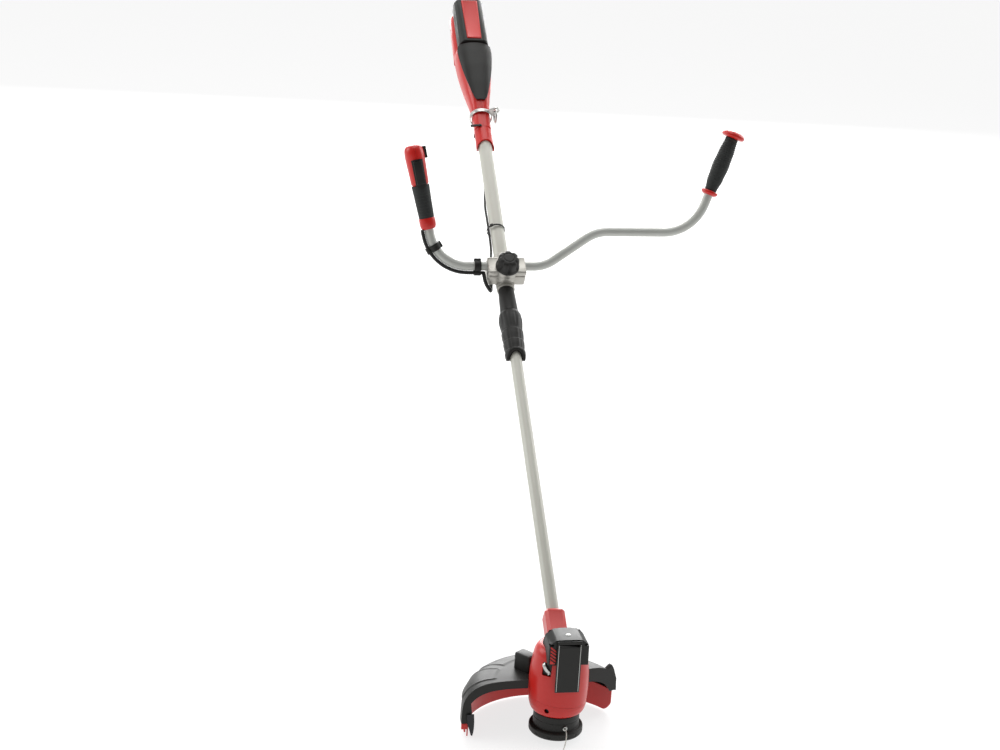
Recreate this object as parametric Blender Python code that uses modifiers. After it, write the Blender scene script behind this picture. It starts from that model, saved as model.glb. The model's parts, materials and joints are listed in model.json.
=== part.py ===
"""Cordless brush cutter: motor head, guard, split shaft, bull-horn handlebar and rear battery unit.

The frame's origin is the harness eye. +Z is up, -Y is the side of the cutting head, +X is the side of
the plain grip. Three helper frames carry the pieces:
head frame   spool axis along Z, its zero at the underside of the spool flange
shaft frame  zero at the mouth of the tube socket, Z up the shaft, -Y towards its upper side
bar frame    zero on the handlebar's tilt axis, Z up in the plane of the bar
"""

from math import cos, pi, radians, sin, tan

import bmesh
import bpy
from mathutils import Matrix, Vector

MM = 0.001
GAP = 0.3 * MM

# Driving dimensions
SHAFT_ANGLE = radians(33)
SOCKET_MOUTH = (0, 91 * MM, 188 * MM)
LOWER_TUBE_R, UPPER_TUBE_R, BAR_R = 11 * MM, 14 * MM, 9 * MM
TUBE_WALL = 1.5 * MM

NUT_FROM, NUT_TO = 539 * MM, 651 * MM
SLEEVE_TO = 708 * MM
BOLT_T, BAR_T, BAR_N = 735.5 * MM, 749 * MM, 26 * MM
TIE_T = 863 * MM
COLLAR_FROM, COLLAR_TO = 1076 * MM, 1130 * MM
GLAND_T = 1142 * MM
HARNESS_T = 1170 * MM
BED_FROM, REAR_END = 1346 * MM, 1474 * MM

BAR_LEAN = radians(12)
HANDLE_LEAN = radians(12)
GRIP_LEAN = radians(21.8)
HANDLE_BASE = (-150 * MM, 70 * MM)
GRIP_BASE = (398 * MM, 141 * MM)

FLANGE_R, NECK_R, HEAD_R = 46.3 * MM, 39.5 * MM, 51 * MM
NECK_TOP, RING_TOP = 41 * MM, 65 * MM
GUARD_CENTRE_X, GUARD_R = -14 * MM, 150 * MM
GUARD_FROM, GUARD_TO = radians(27), radians(180)
LINE_R = 1.0 * MM
EYELET_Z, EYELET_AT = 21 * MM, radians(-79)
CABLE_R, CABLE_CORE_R = 3.7 * MM, 2.25 * MM

LEFT, RIGHT = -1, 1


def clear_scene():
    for thing in list(bpy.data.objects):
        bpy.data.objects.remove(thing)


def new_collection(name):
    made = bpy.data.collections.new(name)
    bpy.context.scene.collection.children.link(made)
    return made


clear_scene()
PARTS = new_collection("brush_cutter")
CUTTERS = new_collection("cutters")


def finish(name, colour, roughness, metallic=0.0):
    made = bpy.data.materials.new(name)
    made.use_nodes = True
    shader = made.node_tree.nodes["Principled BSDF"]
    shader.inputs["Base Color"].default_value = (*colour, 1)
    shader.inputs["Roughness"].default_value = roughness
    shader.inputs["Metallic"].default_value = metallic
    return made


TUBE_GREY = finish("painted_tube", (0.56, 0.56, 0.50), 0.4, 0.3)
BAR_GREY = finish("bar_tube", (0.42, 0.43, 0.40), 0.4, 0.4)
CAST = finish("cast_aluminium", (0.72, 0.72, 0.70), 0.45, 0.9)
RED = finish("red_plastic", (0.55, 0.02, 0.02), 0.35)
BLACK = finish("black_plastic", (0.025, 0.025, 0.025), 0.5)
SOFT = finish("soft_grip_rubber", (0.04, 0.045, 0.045), 0.75)
STEEL = finish("steel", (0.6, 0.6, 0.6), 0.3, 1.0)
COPPER = finish("copper_winding", (0.7, 0.3, 0.12), 0.4, 1.0)
BOARD = finish("circuit_board", (0.03, 0.22, 0.06), 0.5)
LINE = finish("cutting_line", (0.85, 0.85, 0.82), 0.4)


# Frames and placing


def frame(name, parent=None, location=(0, 0, 0), rotation=(0, 0, 0)):
    """An empty that carries pieces; a joint's axis runs through its origin."""
    made = bpy.data.objects.new(name, None)
    PARTS.objects.link(made)
    made.parent = parent
    made.location, made.rotation_euler = location, rotation
    return made


def place(made, name, parent, location=(0, 0, 0), rotation=(0, 0, 0)):
    made.name = name
    made.parent = parent
    made.location, made.rotation_euler = location, rotation
    return made


def piece(made, name, material, parent, location=(0, 0, 0), rotation=(0, 0, 0)):
    """One sub-part: its own object, with its own material."""
    PARTS.objects.link(made)
    made.data.materials.append(material)
    return place(made, name, parent, location, rotation)


def tool(made, name, parent, location=(0, 0, 0), rotation=(0, 0, 0)):
    """A body that only cuts a sub-part or is joined to one."""
    CUTTERS.objects.link(made)
    made.hide_render = True
    made.display_type = "WIRE"
    return place(made, name, parent, location, rotation)


def combine(made, other, operation="DIFFERENCE"):
    step = made.modifiers.new(operation.title(), "BOOLEAN")
    step.operation, step.solver, step.object = operation, "EXACT", other
    return made


# Shapes


def from_bmesh(shape, smooth=True):
    mesh = bpy.data.meshes.new("shape")
    bmesh.ops.recalc_face_normals(shape, faces=shape.faces)
    shape.to_mesh(mesh)
    shape.free()
    if smooth:
        mesh.shade_smooth()
        mesh.set_sharp_from_angle(angle=radians(35))
    return bpy.data.objects.new("shape", mesh)


def box(size, bevel=0.0, segments=1, centre=(0, 0, 0)):
    shape = bmesh.new()
    bmesh.ops.create_cube(shape, size=1, matrix=Matrix.Translation(centre) @ Matrix.Diagonal((*size, 1)))
    made = from_bmesh(shape, smooth=False)
    if bevel:
        step = made.modifiers.new("Bevel", "BEVEL")
        step.width, step.segments, step.limit_method = bevel, segments, "NONE"
    return made


def cylinder(radius, length, sides=20, centre=(0, 0, 0), top_radius=None):
    shape = bmesh.new()
    bmesh.ops.create_cone(
        shape,
        cap_ends=True,
        segments=sides,
        radius1=radius,
        radius2=radius if top_radius is None else top_radius,
        depth=length,
        matrix=Matrix.Translation(centre),
    )
    return from_bmesh(shape)


def turned(profile, sides=20, hollow=False):
    """A profile of (radius, height) turned about Z. It runs down the outer side; a hollow one comes
    back up the inner side and is closed."""
    mesh = bpy.data.meshes.new("turned")
    count = len(profile)
    edges = [(i, i + 1) for i in range(count - 1)] + ([(count - 1, 0)] if hollow else [])
    mesh.from_pydata([(r, 0, z) for r, z in profile], edges, [])
    made = bpy.data.objects.new("turned", mesh)
    step = made.modifiers.new("Screw", "SCREW")
    step.axis, step.angle = "Z", 2 * pi
    step.steps = step.render_steps = sides
    step.use_merge_vertices, step.merge_threshold = True, 0.00001
    step.use_smooth_shade = True
    return made


def sleeve(outer, inner, low, high, sides=20):
    return turned([(outer, high), (outer, low), (inner, low), (inner, high)], sides, hollow=True)


def wire(points, radius, sides_step=2, cyclic=False, shares=None):
    """A round wire or tube through the points; shares scale its radius from point to point."""
    curve = bpy.data.curves.new("wire", "CURVE")
    curve.dimensions = "3D"
    curve.bevel_depth, curve.bevel_resolution = radius, sides_step
    curve.use_fill_caps = True
    spline = curve.splines.new("POLY")
    spline.points.add(len(points) - 1)
    for i, (spot, point) in enumerate(zip(spline.points, points)):
        spot.co = (*point, 1)
        spot.radius = shares[i] if shares else 1
    spline.use_cyclic_u = cyclic
    return bpy.data.objects.new("wire", curve)


def plate(outline, thickness):
    """A flat outline, its thickness shared to both sides of its own XY plane."""
    curve = bpy.data.curves.new("plate", "CURVE")
    curve.dimensions, curve.fill_mode = "2D", "BOTH"
    curve.extrude = thickness / 2
    spline = curve.splines.new("POLY")
    spline.points.add(len(outline) - 1)
    for spot, (x, y) in zip(spline.points, outline):
        spot.co = (x, y, 0, 1)
    spline.use_cyclic_u = True
    return bpy.data.objects.new("plate", curve)


def as_mesh(curve_object):
    """The same shape as a closed mesh, so that it can be cut or joined."""
    bpy.context.scene.collection.objects.link(curve_object)
    graph = bpy.context.evaluated_depsgraph_get()
    mesh = bpy.data.meshes.new_from_object(curve_object.evaluated_get(graph))
    shape = bmesh.new()
    shape.from_mesh(mesh)
    bmesh.ops.remove_doubles(shape, verts=shape.verts, dist=0.00001)
    made = from_bmesh(shape)
    made.matrix_world = curve_object.matrix_world
    bpy.data.objects.remove(curve_object)
    return made


def sheet(rows, thickness, offset=-1.0):
    """An open grid of points, given thickness."""
    shape = bmesh.new()
    grid = [[shape.verts.new(point) for point in row] for row in rows]
    for low, high in zip(grid, grid[1:]):
        for i in range(len(low) - 1):
            shape.faces.new((low[i], low[i + 1], high[i + 1], high[i]))
    bmesh.ops.remove_doubles(shape, verts=shape.verts, dist=0.00001)
    bmesh.ops.dissolve_degenerate(shape, edges=shape.edges, dist=0.00001)
    made = from_bmesh(shape)
    step = made.modifiers.new("Solidify", "SOLIDIFY")
    step.thickness, step.offset, step.use_even_offset = thickness, offset, True
    return made


def arc(centre, radius, start, end, count):
    """Points of an arc in a plane, from one angle to another."""
    steps = [start + (end - start) * i / (count - 1) for i in range(count)]
    return [(centre[0] + radius * cos(a), centre[1] + radius * sin(a)) for a in steps]


def filleted(corners, radii, count=7):
    """A flat path through the corners, each inner corner rounded to its radius."""
    path = [Vector(corners[0])]
    for i, radius in enumerate(radii, start=1):
        here = Vector(corners[i])
        before = (Vector(corners[i - 1]) - here).normalized()
        after = (Vector(corners[i + 1]) - here).normalized()
        half = before.angle(after) / 2
        centre = here + (before + after).normalized() * (radius / sin(half))
        first = here + before * (radius / tan(half)) - centre
        last = here + after * (radius / tan(half)) - centre
        sweep = first.angle_signed(last)
        path += [centre + Matrix.Rotation(-sweep * k / (count - 1), 2) @ first for k in range(count)]
    return path + [Vector(corners[-1])]


def smooth_route(points, every):
    """Evenly spaced points on a smooth curve through a route's own points."""
    spots = [Vector(p) for p in points]
    spots = [2 * spots[0] - spots[1], *spots, 2 * spots[-1] - spots[-2]]
    fine = []
    for a, b, c, d in zip(spots, spots[1:], spots[2:], spots[3:]):
        for k in range(24):
            s = k / 24
            square, cube = 2 * a - 5 * b + 4 * c - d, 3 * b - a - 3 * c + d
            fine.append((2 * b + (c - a) * s + square * s**2 + cube * s**3) / 2)
    fine.append(spots[-2])
    route, run = [fine[0]], 0.0
    for before, here in zip(fine, fine[1:]):
        run += (here - before).length
        if run >= every:
            route.append(here)
            run = 0.0
    if (fine[-1] - route[-1]).length < every / 2:
        route.pop()
    return route + [fine[-1]]


def coil(radius, low, high, turns, sides=10):
    count = turns * sides
    return [
        (radius * cos(2 * pi * i / sides), radius * sin(2 * pi * i / sides), low + (high - low) * i / count)
        for i in range(count + 1)
    ]


# Frames. The shaft frame's place of the harness eye fixes the whole object's origin.

EYE_X, EYE_N = 28 * MM, 22 * MM
SHAFT_UP = Vector((0, cos(SHAFT_ANGLE), sin(SHAFT_ANGLE)))
SHAFT_TOP = Vector((0, -sin(SHAFT_ANGLE), cos(SHAFT_ANGLE)))
EYE = Vector(SOCKET_MOUTH) + Vector((EYE_X, 0, 0)) + SHAFT_TOP * EYE_N + SHAFT_UP * HARNESS_T

head = frame("head_frame", location=-EYE)
shaft = frame("shaft_frame", head, SOCKET_MOUTH, (SHAFT_ANGLE - pi / 2, 0, 0))
bar = frame("handlebar_tilt_axis", shaft, (0, -BAR_N, BAR_T), (pi / 2 - SHAFT_ANGLE - BAR_LEAN, 0, 0))
handle = frame("handle_frame", bar, (HANDLE_BASE[0], 0, HANDLE_BASE[1]), (0, -HANDLE_LEAN, 0))
grip = frame("grip_frame", bar, (GRIP_BASE[0], 0, GRIP_BASE[1]), (0, GRIP_LEAN, 0))


# Shaft


def build_tubes():
    piece(sleeve(LOWER_TUBE_R, LOWER_TUBE_R - TUBE_WALL, -55 * MM, 700 * MM), "lower_tube", TUBE_GREY, shaft)
    piece(sleeve(UPPER_TUBE_R, UPPER_TUBE_R - TUBE_WALL, 612 * MM, 1170 * MM), "upper_tube", TUBE_GREY, shaft)
    piece(sleeve(12.1 * MM, 11.3 * MM, 613 * MM, 660 * MM), "shaft_bush", BLACK, shaft)


def build_connector():
    body = [
        (15.3 * MM, SLEEVE_TO),
        (17.4 * MM, NUT_TO + GAP),
        (16.5 * MM, NUT_TO + GAP),
        (16.5 * MM, 580 * MM),
        (11.5 * MM, 580 * MM),
        (11.5 * MM, 611 * MM),
        (14.3 * MM, 611 * MM),
        (14.3 * MM, SLEEVE_TO),
    ]
    piece(turned(body, hollow=True), "connector_sleeve", BLACK, shaft)
    nut = [
        (17.5 * MM, NUT_TO),
        (21.0 * MM, 645 * MM),
        (22.5 * MM, 632 * MM),
        (21.5 * MM, 618 * MM),
        (19.8 * MM, 602 * MM),
        (19.0 * MM, 580 * MM),
        (18.2 * MM, 557 * MM),
        (19.4 * MM, 542 * MM),
        (18.0 * MM, NUT_FROM),
        (11.8 * MM, NUT_FROM),
        (11.8 * MM, 574 * MM),
        (16.9 * MM, 576 * MM),
        (16.9 * MM, NUT_TO),
    ]
    piece(turned(nut, hollow=True), "lock_nut", BLACK, frame("lock_nut_axis", shaft))


def build_leads():
    """The motor lead: a straight run in each tube, joined by a plug in a socket."""
    plug_from, plug_to = 652 * MM, 676 * MM
    front = [(2.4 * MM, -30 * MM), (2.4 * MM, plug_from), (7 * MM, plug_from), (7 * MM, plug_to)]
    piece(turned([(0, plug_to)] + front[::-1] + [(0, -30 * MM)], 12), "front_lead", BLACK, shaft)
    low, high, end = plug_to + GAP, plug_to + 24 * MM, 1200 * MM
    rear = [(0, end), (2.4 * MM, end), (2.4 * MM, high), (7 * MM, high), (7 * MM, low), (0, low)]
    piece(turned(rear, 12), "rear_lead", BLACK, shaft)


# Handlebar clamp

WING_HALF, WING_FROM, WING_TO = 37 * MM, 722 * MM, 762 * MM
CLAMP_SPLIT, CLAMP_TOP = 26 * MM, 38.5 * MM
BOLT_R = 3 * MM


def build_clamp():
    wing_centre_t = (WING_FROM + WING_TO) / 2
    wing_length = WING_TO - WING_FROM
    bar_bore = tool(cylinder(BAR_R + GAP, 0.1), "bar_bore", shaft, (0, -BAR_N, BAR_T), (0, pi / 2, 0))
    tube_bore = tool(cylinder(14.3 * MM, 0.12), "clamp_tube_bore", shaft, (0, 0, 750 * MM))
    bolt_hole = tool(
        cylinder(BOLT_R + 0.4 * MM, 60 * MM, 12), "bolt_hole", shaft, (0, -46.3 * MM, BOLT_T), (pi / 2, 0, 0)
    )

    rings = [
        (0, 792 * MM),
        (16.6 * MM, 792 * MM),
        (16.6 * MM, 723 * MM),
        (17.6 * MM, 721 * MM),
        (17.6 * MM, 716 * MM),
        (16.4 * MM, 714 * MM),
        (16.4 * MM, 709 * MM),
        (0, 709 * MM),
    ]
    base = piece(
        box((2 * WING_HALF, CLAMP_SPLIT, wing_length), 3 * MM), "clamp_base", CAST, shaft,
        (0, -CLAMP_SPLIT / 2, wing_centre_t),
    )
    combine(base, tool(turned(rings), "clamp_tube_part", shaft), "UNION")
    for cutter in (tube_bore, bar_bore, bolt_hole):
        combine(base, cutter)

    cap_height = CLAMP_TOP - CLAMP_SPLIT - GAP
    cap = piece(
        box((2 * WING_HALF, cap_height, wing_length), 2.5 * MM), "clamp_cap", CAST, shaft,
        (0, -(CLAMP_TOP + CLAMP_SPLIT + GAP) / 2, wing_centre_t),
    )
    combine(combine(cap, bar_bore), bolt_hole)

    knob_base = CLAMP_TOP + 0.4 * MM
    knob = [
        (0, 28 * MM),
        (16.5 * MM, 28 * MM),
        (19.5 * MM, 25.5 * MM),
        (20.2 * MM, 8 * MM),
        (23 * MM, 5 * MM),
        (23 * MM, 0),
        (BOLT_R, 0),
        (BOLT_R, -21 * MM),
        (0, -21 * MM),
    ]
    axis = frame("clamp_knob_axis", shaft, (0, -knob_base, BOLT_T), (pi / 2, 0, 0))
    piece(turned(knob), "clamp_knob", BLACK, axis)


# Handlebar


def build_handlebar():
    up = Vector((sin(GRIP_LEAN), cos(GRIP_LEAN)))
    handle_up = Vector((-sin(HANDLE_LEAN), cos(HANDLE_LEAN)))
    low, high = 0.0, 67.5 * MM
    left_corner = HANDLE_BASE[0] + HANDLE_BASE[1] * tan(HANDLE_LEAN)
    right_corner = GRIP_BASE[0] - (GRIP_BASE[1] - high) * tan(GRIP_LEAN)
    corners = [
        Vector(HANDLE_BASE) + handle_up * 68 * MM,
        (left_corner, low),
        (76 * MM, low),
        (176 * MM, high),
        (right_corner, high),
        Vector(GRIP_BASE) + up * 112 * MM,
    ]
    path = [(x, 0, z) for x, z in filleted(corners, [75 * MM, 70 * MM, 75 * MM, 88 * MM], 6)]
    tube = piece(as_mesh(wire(path, BAR_R)), "handlebar_tube", BAR_GREY, bar)
    ends = [Vector(a) + (Vector(a) - Vector(b)) * 0.2 for a, b in (path[:2], path[:-3:-1])]
    hollow = as_mesh(wire([ends[0], *path[1:-1], ends[1]], BAR_R - TUBE_WALL))
    combine(tube, tool(hollow, "handlebar_hollow", bar))


def build_plain_grip():
    inner = BAR_R + GAP
    body = [
        (12.6 * MM, 118 * MM),
        (15.8 * MM, 85 * MM),
        (17.0 * MM, 60 * MM),
        (15.8 * MM, 35 * MM),
        (11.8 * MM, 9 * MM),
        (inner, 9 * MM),
        (inner, 113 * MM),
        (4 * MM, 113 * MM),
        (4 * MM, 118 * MM),
    ]
    piece(turned(body, hollow=True), "plain_grip", SOFT, grip)
    flange = [
        (12.5 * MM, 8.7 * MM),
        (16.4 * MM, 7.5 * MM),
        (16.4 * MM, 3.5 * MM),
        (12 * MM, 0),
        (inner, 0),
        (inner, 8.7 * MM),
    ]
    piece(turned(flange, hollow=True), "grip_flange", RED, grip)
    low = 118 * MM + GAP
    cap = [
        (0, low + 15 * MM),
        (10 * MM, low + 14.5 * MM),
        (17 * MM, low + 12.5 * MM),
        (21.5 * MM, low + 9.5 * MM),
        (23 * MM, low + 6.5 * MM),
        (23 * MM, low + 4 * MM),
        (20.5 * MM, low + 1.2 * MM),
        (14 * MM, low),
        (0, low),
    ]
    piece(turned(cap), "grip_end_cap", RED, grip)


HANDLE_DEPTH = 1.15  # the handle is this much deeper than it is wide
SHELL_PROFILE = [
    (9.0 * MM, 163 * MM),
    (14.6 * MM, 160 * MM),
    (18.2 * MM, 152 * MM),
    (18.9 * MM, 142 * MM),
    (18.4 * MM, 126 * MM),
    (17.5 * MM, 104 * MM),
    (17.0 * MM, 88 * MM),
    (13.9 * MM, 84.5 * MM),
    (12.4 * MM, 60 * MM),
    (12.0 * MM, 30 * MM),
    (12.0 * MM, 2 * MM),
]
PIVOT_Y, PIVOT_Z = -13 * MM, 133 * MM


# Angles round half a section; the extra ones near its ends keep the rims square to the middle plane.
RIM_STEP = radians(3)
HALF_TURN = [-pi / 2 + pi * k / 8 for k in range(9)]
HALF_TURN[1:1] = [-pi / 2 + RIM_STEP]
HALF_TURN[-1:-1] = [pi / 2 - RIM_STEP]


def half_shell(side):
    """Half of the handle's shell, open at its middle plane, turned from the shell's profile."""
    rows = []
    for radius, height in SHELL_PROFILE:
        deeper = 1 + (HANDLE_DEPTH - 1) * min(1, max(0, (height - 85 * MM) / (20 * MM)))
        row = []
        for a in HALF_TURN:
            across = max(radius * cos(a), 0) + GAP / 2
            row.append((side * across, radius * deeper * sin(a), height))
        rows.append(row)
    middle = [(side * GAP / 2, y, 163 * MM) for _, y, _ in rows[0]]
    return sheet([middle] + rows, 2.1 * MM)


def build_trigger_handle():
    opening = tool(box((18 * MM, 30 * MM, 58 * MM)), "trigger_opening", handle, (0, -22 * MM, 106 * MM))
    button_opening = tool(box((24 * MM, 11 * MM, 25 * MM)), "button_opening", handle, (20 * MM, 0, 145 * MM))
    for side, name in ((LEFT, "handle_shell_left"), (RIGHT, "handle_shell_right")):
        shell = piece(half_shell(side), name, RED, handle)
        combine(shell, opening)
        if side == RIGHT:
            combine(shell, button_opening)

    soft = [
        (17.2 * MM, 84.2 * MM),
        (16.2 * MM, 62 * MM),
        (15.4 * MM, 42 * MM),
        (14.8 * MM, 21.5 * MM),
        (12.5 * MM, 21.5 * MM),
        (12.5 * MM, 31 * MM),
        (13.0 * MM, 61 * MM),
        (14.6 * MM, 84.2 * MM),
    ]
    piece(turned(soft, hollow=True), "soft_grip", SOFT, handle)
    collar = [
        (15.2 * MM, 21 * MM),
        (15.4 * MM, 10 * MM),
        (14.0 * MM, 3 * MM),
        (11.8 * MM, 0),
        (BAR_R + GAP, 0),
        (BAR_R + GAP, 1.6 * MM),
        (12.5 * MM, 1.6 * MM),
        (12.5 * MM, 21 * MM),
    ]
    piece(turned(collar, hollow=True), "handle_collar", RED, handle)

    lever = [
        (-17 * MM, 133 * MM),
        (-22.5 * MM, 130 * MM),
        (-24 * MM, 118 * MM),
        (-23 * MM, 103 * MM),
        (-22 * MM, 88 * MM),
        (-19.5 * MM, 86.5 * MM),
        (-17.5 * MM, 88 * MM),
        (-13 * MM, 118 * MM),
        (-9 * MM, 128 * MM),
        (-10 * MM, 134 * MM),
    ]
    axis = frame("trigger_axis", handle, (0, PIVOT_Y, PIVOT_Z))
    outline = [(y - PIVOT_Y, z - PIVOT_Z) for y, z in lever]
    piece(plate(outline, 16 * MM), "trigger", BLACK, axis, rotation=(pi / 2, 0, pi / 2))

    slider = frame("lock_off_axis", handle, (16 * MM, 0, 145 * MM))
    piece(box((16 * MM, 9.6 * MM, 23 * MM), 1.5 * MM), "lock_off_button", BLACK, slider)
    piece(box((10 * MM, 8 * MM, 22 * MM), 0.8 * MM), "micro_switch", BLACK, handle, (0, 8 * MM, 98 * MM))
    spring = wire(coil(2.6 * MM, 0, 17 * MM, 4, 8), 0.5 * MM, 0)
    piece(spring, "trigger_spring", STEEL, handle, (0, 2.6 * MM, 98 * MM), (pi / 2, 0, 0))


# Control cable. Its first run follows the outer side of the bar's left bend and tilts with the bar; its
# second run drops in a loop behind the clamp, where its corrugated sleeve ends, and climbs the upper tube.

CABLE_OFF, CABLE_FRONT = 12.9 * MM, -1.5 * MM
CABLE_SPLIT_X = -47.5 * MM
BEND_R = 75 * MM


def bar_cable_route():
    corner = HANDLE_BASE[0] + HANDLE_BASE[1] * tan(HANDLE_LEAN)
    turn = pi / 2 - HANDLE_LEAN
    centre = (corner + BEND_R * tan(turn / 2), BEND_R)
    bend = arc(centre, BEND_R + CABLE_OFF, -pi / 2 - turn, -pi / 2, 9)
    start = Vector(bend[0]) + Vector((-sin(HANDLE_LEAN), cos(HANDLE_LEAN))) * 7 * MM
    flat = [(-62 * MM, -CABLE_OFF), (CABLE_SPLIT_X, -CABLE_OFF)]
    return [(x, CABLE_FRONT, z) for x, z in [tuple(start)] + bend + flat]


# Millimetres in the shaft frame
SHAFT_CABLE_ROUTE = [
    (-42.0, -15.5, 728.5),
    (-41.2, -13.8, 721.5),
    (-39.0, -11.0, 715.0),
    (-35.5, -6.5, 711.8),
    (-31.5, -0.5, 711.0),
    (-28.8, 5.5, 713.5),
    (-27.0, 9.5, 721.0),
    (-25.0, 10.8, 735.0),
    (-22.5, 9.0, 755.0),
    (-20.8, 6.5, 772.0),
    (-19.3, 4.0, 795.0),
    (-17.2, 1.5, 820.0),
    (-16.9, 0.8, 863.0),
    (-16.9, 1.5, 892.0),
    (-16.2, 6.2, 925.0),
    (-13.2, 11.8, 955.0),
    (-9.8, 15.2, 985.0),
    (-7.6, 16.8, 1012.0),
    (-6.6, 19.0, 1040.0),
    (-6.4, 21.4, 1064.0),
    (-6.3, 22.8, 1090.0),
    (-6.2, 23.2, 1118.0),
    (-6.2, 23.2, 1137.0),
]
CORE_FROM, CORE_TO = 765 * MM, 800 * MM


def build_cable():
    route = smooth_route(bar_cable_route(), 10 * MM)
    piece(wire(route, CABLE_R), "bar_cable", BLACK, bar)
    in_shaft = shaft_from_bar()
    start = in_shaft @ Vector((CABLE_SPLIT_X + GAP, CABLE_FRONT, -CABLE_OFF))
    points = [start + Vector((4 * MM, 0, 0))]
    points += [Vector(point) * MM for point in SHAFT_CABLE_ROUTE]
    route = [start] + smooth_route(points, 10 * MM)
    thin = CABLE_CORE_R / CABLE_R
    shares = [1 - (1 - thin) * min(1, max(0, (p.z - CORE_FROM) / (CORE_TO - CORE_FROM))) for p in route]
    piece(wire(route, CABLE_R, shares=shares), "shaft_cable", BLACK, shaft)


def shaft_from_bar():
    tilt = Matrix.Rotation(pi / 2 - SHAFT_ANGLE - BAR_LEAN, 4, "X")
    return Matrix.Translation((0, -BAR_N, BAR_T)) @ tilt


def cable_clip(name, parent, place_at, turn):
    """A strap round the bar with a smaller loop round the cable."""
    width = 13 * MM
    made = piece(cylinder(BAR_R + 2.8 * MM, width), name, BLACK, parent, place_at, (0, turn, 0))
    loop_at = (CABLE_OFF, CABLE_FRONT, 0)
    loop = tool(cylinder(CABLE_R + 2 * MM, width, 16, loop_at), name + "_loop", made)
    bar_hole = tool(cylinder(BAR_R + 1.0 * MM, 3 * width), name + "_bar_hole", made)
    cable_hole = tool(cylinder(CABLE_R + 0.5 * MM, 3 * width, 16, loop_at), name + "_cable_hole", made)
    combine(combine(combine(made, loop, "UNION"), bar_hole), cable_hole)


def build_cable_holders():
    corner = HANDLE_BASE[0] + HANDLE_BASE[1] * tan(HANDLE_LEAN)
    turn = pi / 2 - HANDLE_LEAN
    centre_x = corner + BEND_R * tan(turn / 2)
    lean = radians(58)
    spot = (centre_x - BEND_R * sin(lean), 0, BEND_R - BEND_R * cos(lean))
    cable_clip("cable_clip_upper", bar, spot, pi / 2 + lean)
    cable_clip("cable_clip_lower", bar, (-55 * MM, 0, 0), pi / 2)

    # The tie goes round the tube and the cable beside it.
    inner, outer = 17.2 * MM, 18.4 * MM
    tie = piece(sleeve(outer, inner, -2 * MM, 2 * MM), "cable_tie", BLACK, shaft, (-2.7 * MM, 0, TIE_T))
    lock_at = radians(-125)
    lock_place = (18.6 * MM * cos(lock_at), 18.6 * MM * sin(lock_at), 0)
    lock = tool(box((3.4 * MM, 6 * MM, 5.5 * MM)), "tie_lock", tie, lock_place, (0, 0, lock_at))
    combine(tie, lock, "UNION")

    gland = [
        (6.0 * MM, 6 * MM),
        (8.5 * MM, 4 * MM),
        (8.5 * MM, 0),
        (5.0 * MM, -4 * MM),
        (CABLE_CORE_R + GAP, -4 * MM),
        (CABLE_CORE_R + GAP, 6 * MM),
    ]
    piece(turned(gland, 20, hollow=True), "cable_gland", BLACK, shaft, (-6.2 * MM, 23.2 * MM, GLAND_T - 3 * MM))


# Rear unit: a section is (place along the shaft, half width, lowest, highest), heights towards the
# shaft's upper side.

HOUSING_SECTIONS = [
    (1131 * MM, 17.0 * MM, -17.0 * MM, 17.0 * MM),
    (1165 * MM, 17.6 * MM, -18.0 * MM, 18.0 * MM),
    (1200 * MM, 20.5 * MM, -22.0 * MM, 24.0 * MM),
    (1240 * MM, 27.0 * MM, -29.0 * MM, 31.0 * MM),
    (1285 * MM, 33.0 * MM, -35.0 * MM, 37.0 * MM),
    (1325 * MM, 36.0 * MM, -38.0 * MM, 40.0 * MM),
    (1345 * MM, 36.0 * MM, -38.0 * MM, 40.0 * MM),
    (BED_FROM, 35.5 * MM, -38.0 * MM, 8.0 * MM),
    (1420 * MM, 34.5 * MM, -37.0 * MM, 8.0 * MM),
    (REAR_END - 8 * MM, 33.0 * MM, -34.0 * MM, 8.0 * MM),
    (REAR_END, 28.0 * MM, -27.0 * MM, 5.0 * MM),
]
SQUARENESS = 2.7
HOUSING_WALL = 2.4 * MM


def housing_height(x, section):
    """Height of the housing's upper surface at a place across it."""
    _, half_width, low, high = section
    share = min(1.0, abs(x) / half_width)
    return (low + high) / 2 + (high - low) / 2 * (1 - share**SQUARENESS) ** (1 / SQUARENESS)


def housing_half(side):
    rows = []
    for along, half_width, low, high in HOUSING_SECTIONS:
        row = []
        for a in HALF_TURN:
            across = half_width * max(cos(a), 0) ** (2 / SQUARENESS) + GAP / 2
            rise = (high - low) / 2 * abs(sin(a)) ** (2 / SQUARENESS) * (1 if a > 0 else -1)
            row.append((side * across, -((low + high) / 2 + rise), along))
        rows.append(row)
    rows.append([(side * GAP / 2, y, z) for _, y, z in rows[-1]])
    return sheet(rows, HOUSING_WALL)


def build_rear_housing():
    gland_hole = tool(cylinder(9 * MM, 22 * MM), "gland_hole", shaft, (-6.2 * MM, 23.2 * MM, 1140 * MM))
    terminal_at = (0, -8 * MM, BED_FROM + 4 * MM)
    terminal_hole = tool(box((26 * MM, 30 * MM, 16 * MM)), "terminal_hole", shaft, terminal_at)
    for side, name in ((LEFT, "rear_housing_left"), (RIGHT, "rear_housing_right")):
        half = piece(housing_half(side), name, RED, shaft)
        combine(combine(half, terminal_hole), gland_hole)

    collar = [
        (17.2 * MM, COLLAR_TO),
        (17.6 * MM, 1112 * MM),
        (18.6 * MM, COLLAR_FROM),
        (UPPER_TUBE_R + GAP, COLLAR_FROM),
        (UPPER_TUBE_R + GAP, COLLAR_TO),
    ]
    mouth = tool(cylinder(19 * MM, 60 * MM, 32), "mouth_arch", shaft, (0, 0, 1074 * MM), (pi / 2, 0, 0))
    made = piece(turned(collar, hollow=True), "neck_collar", RED, shaft)
    combine(made, mouth)


SHIELD_OUTLINE = [(1197, 9), (1215, 14), (1250, 23), (1285, 29), (1325, 33), (1344, 32)]


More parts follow.
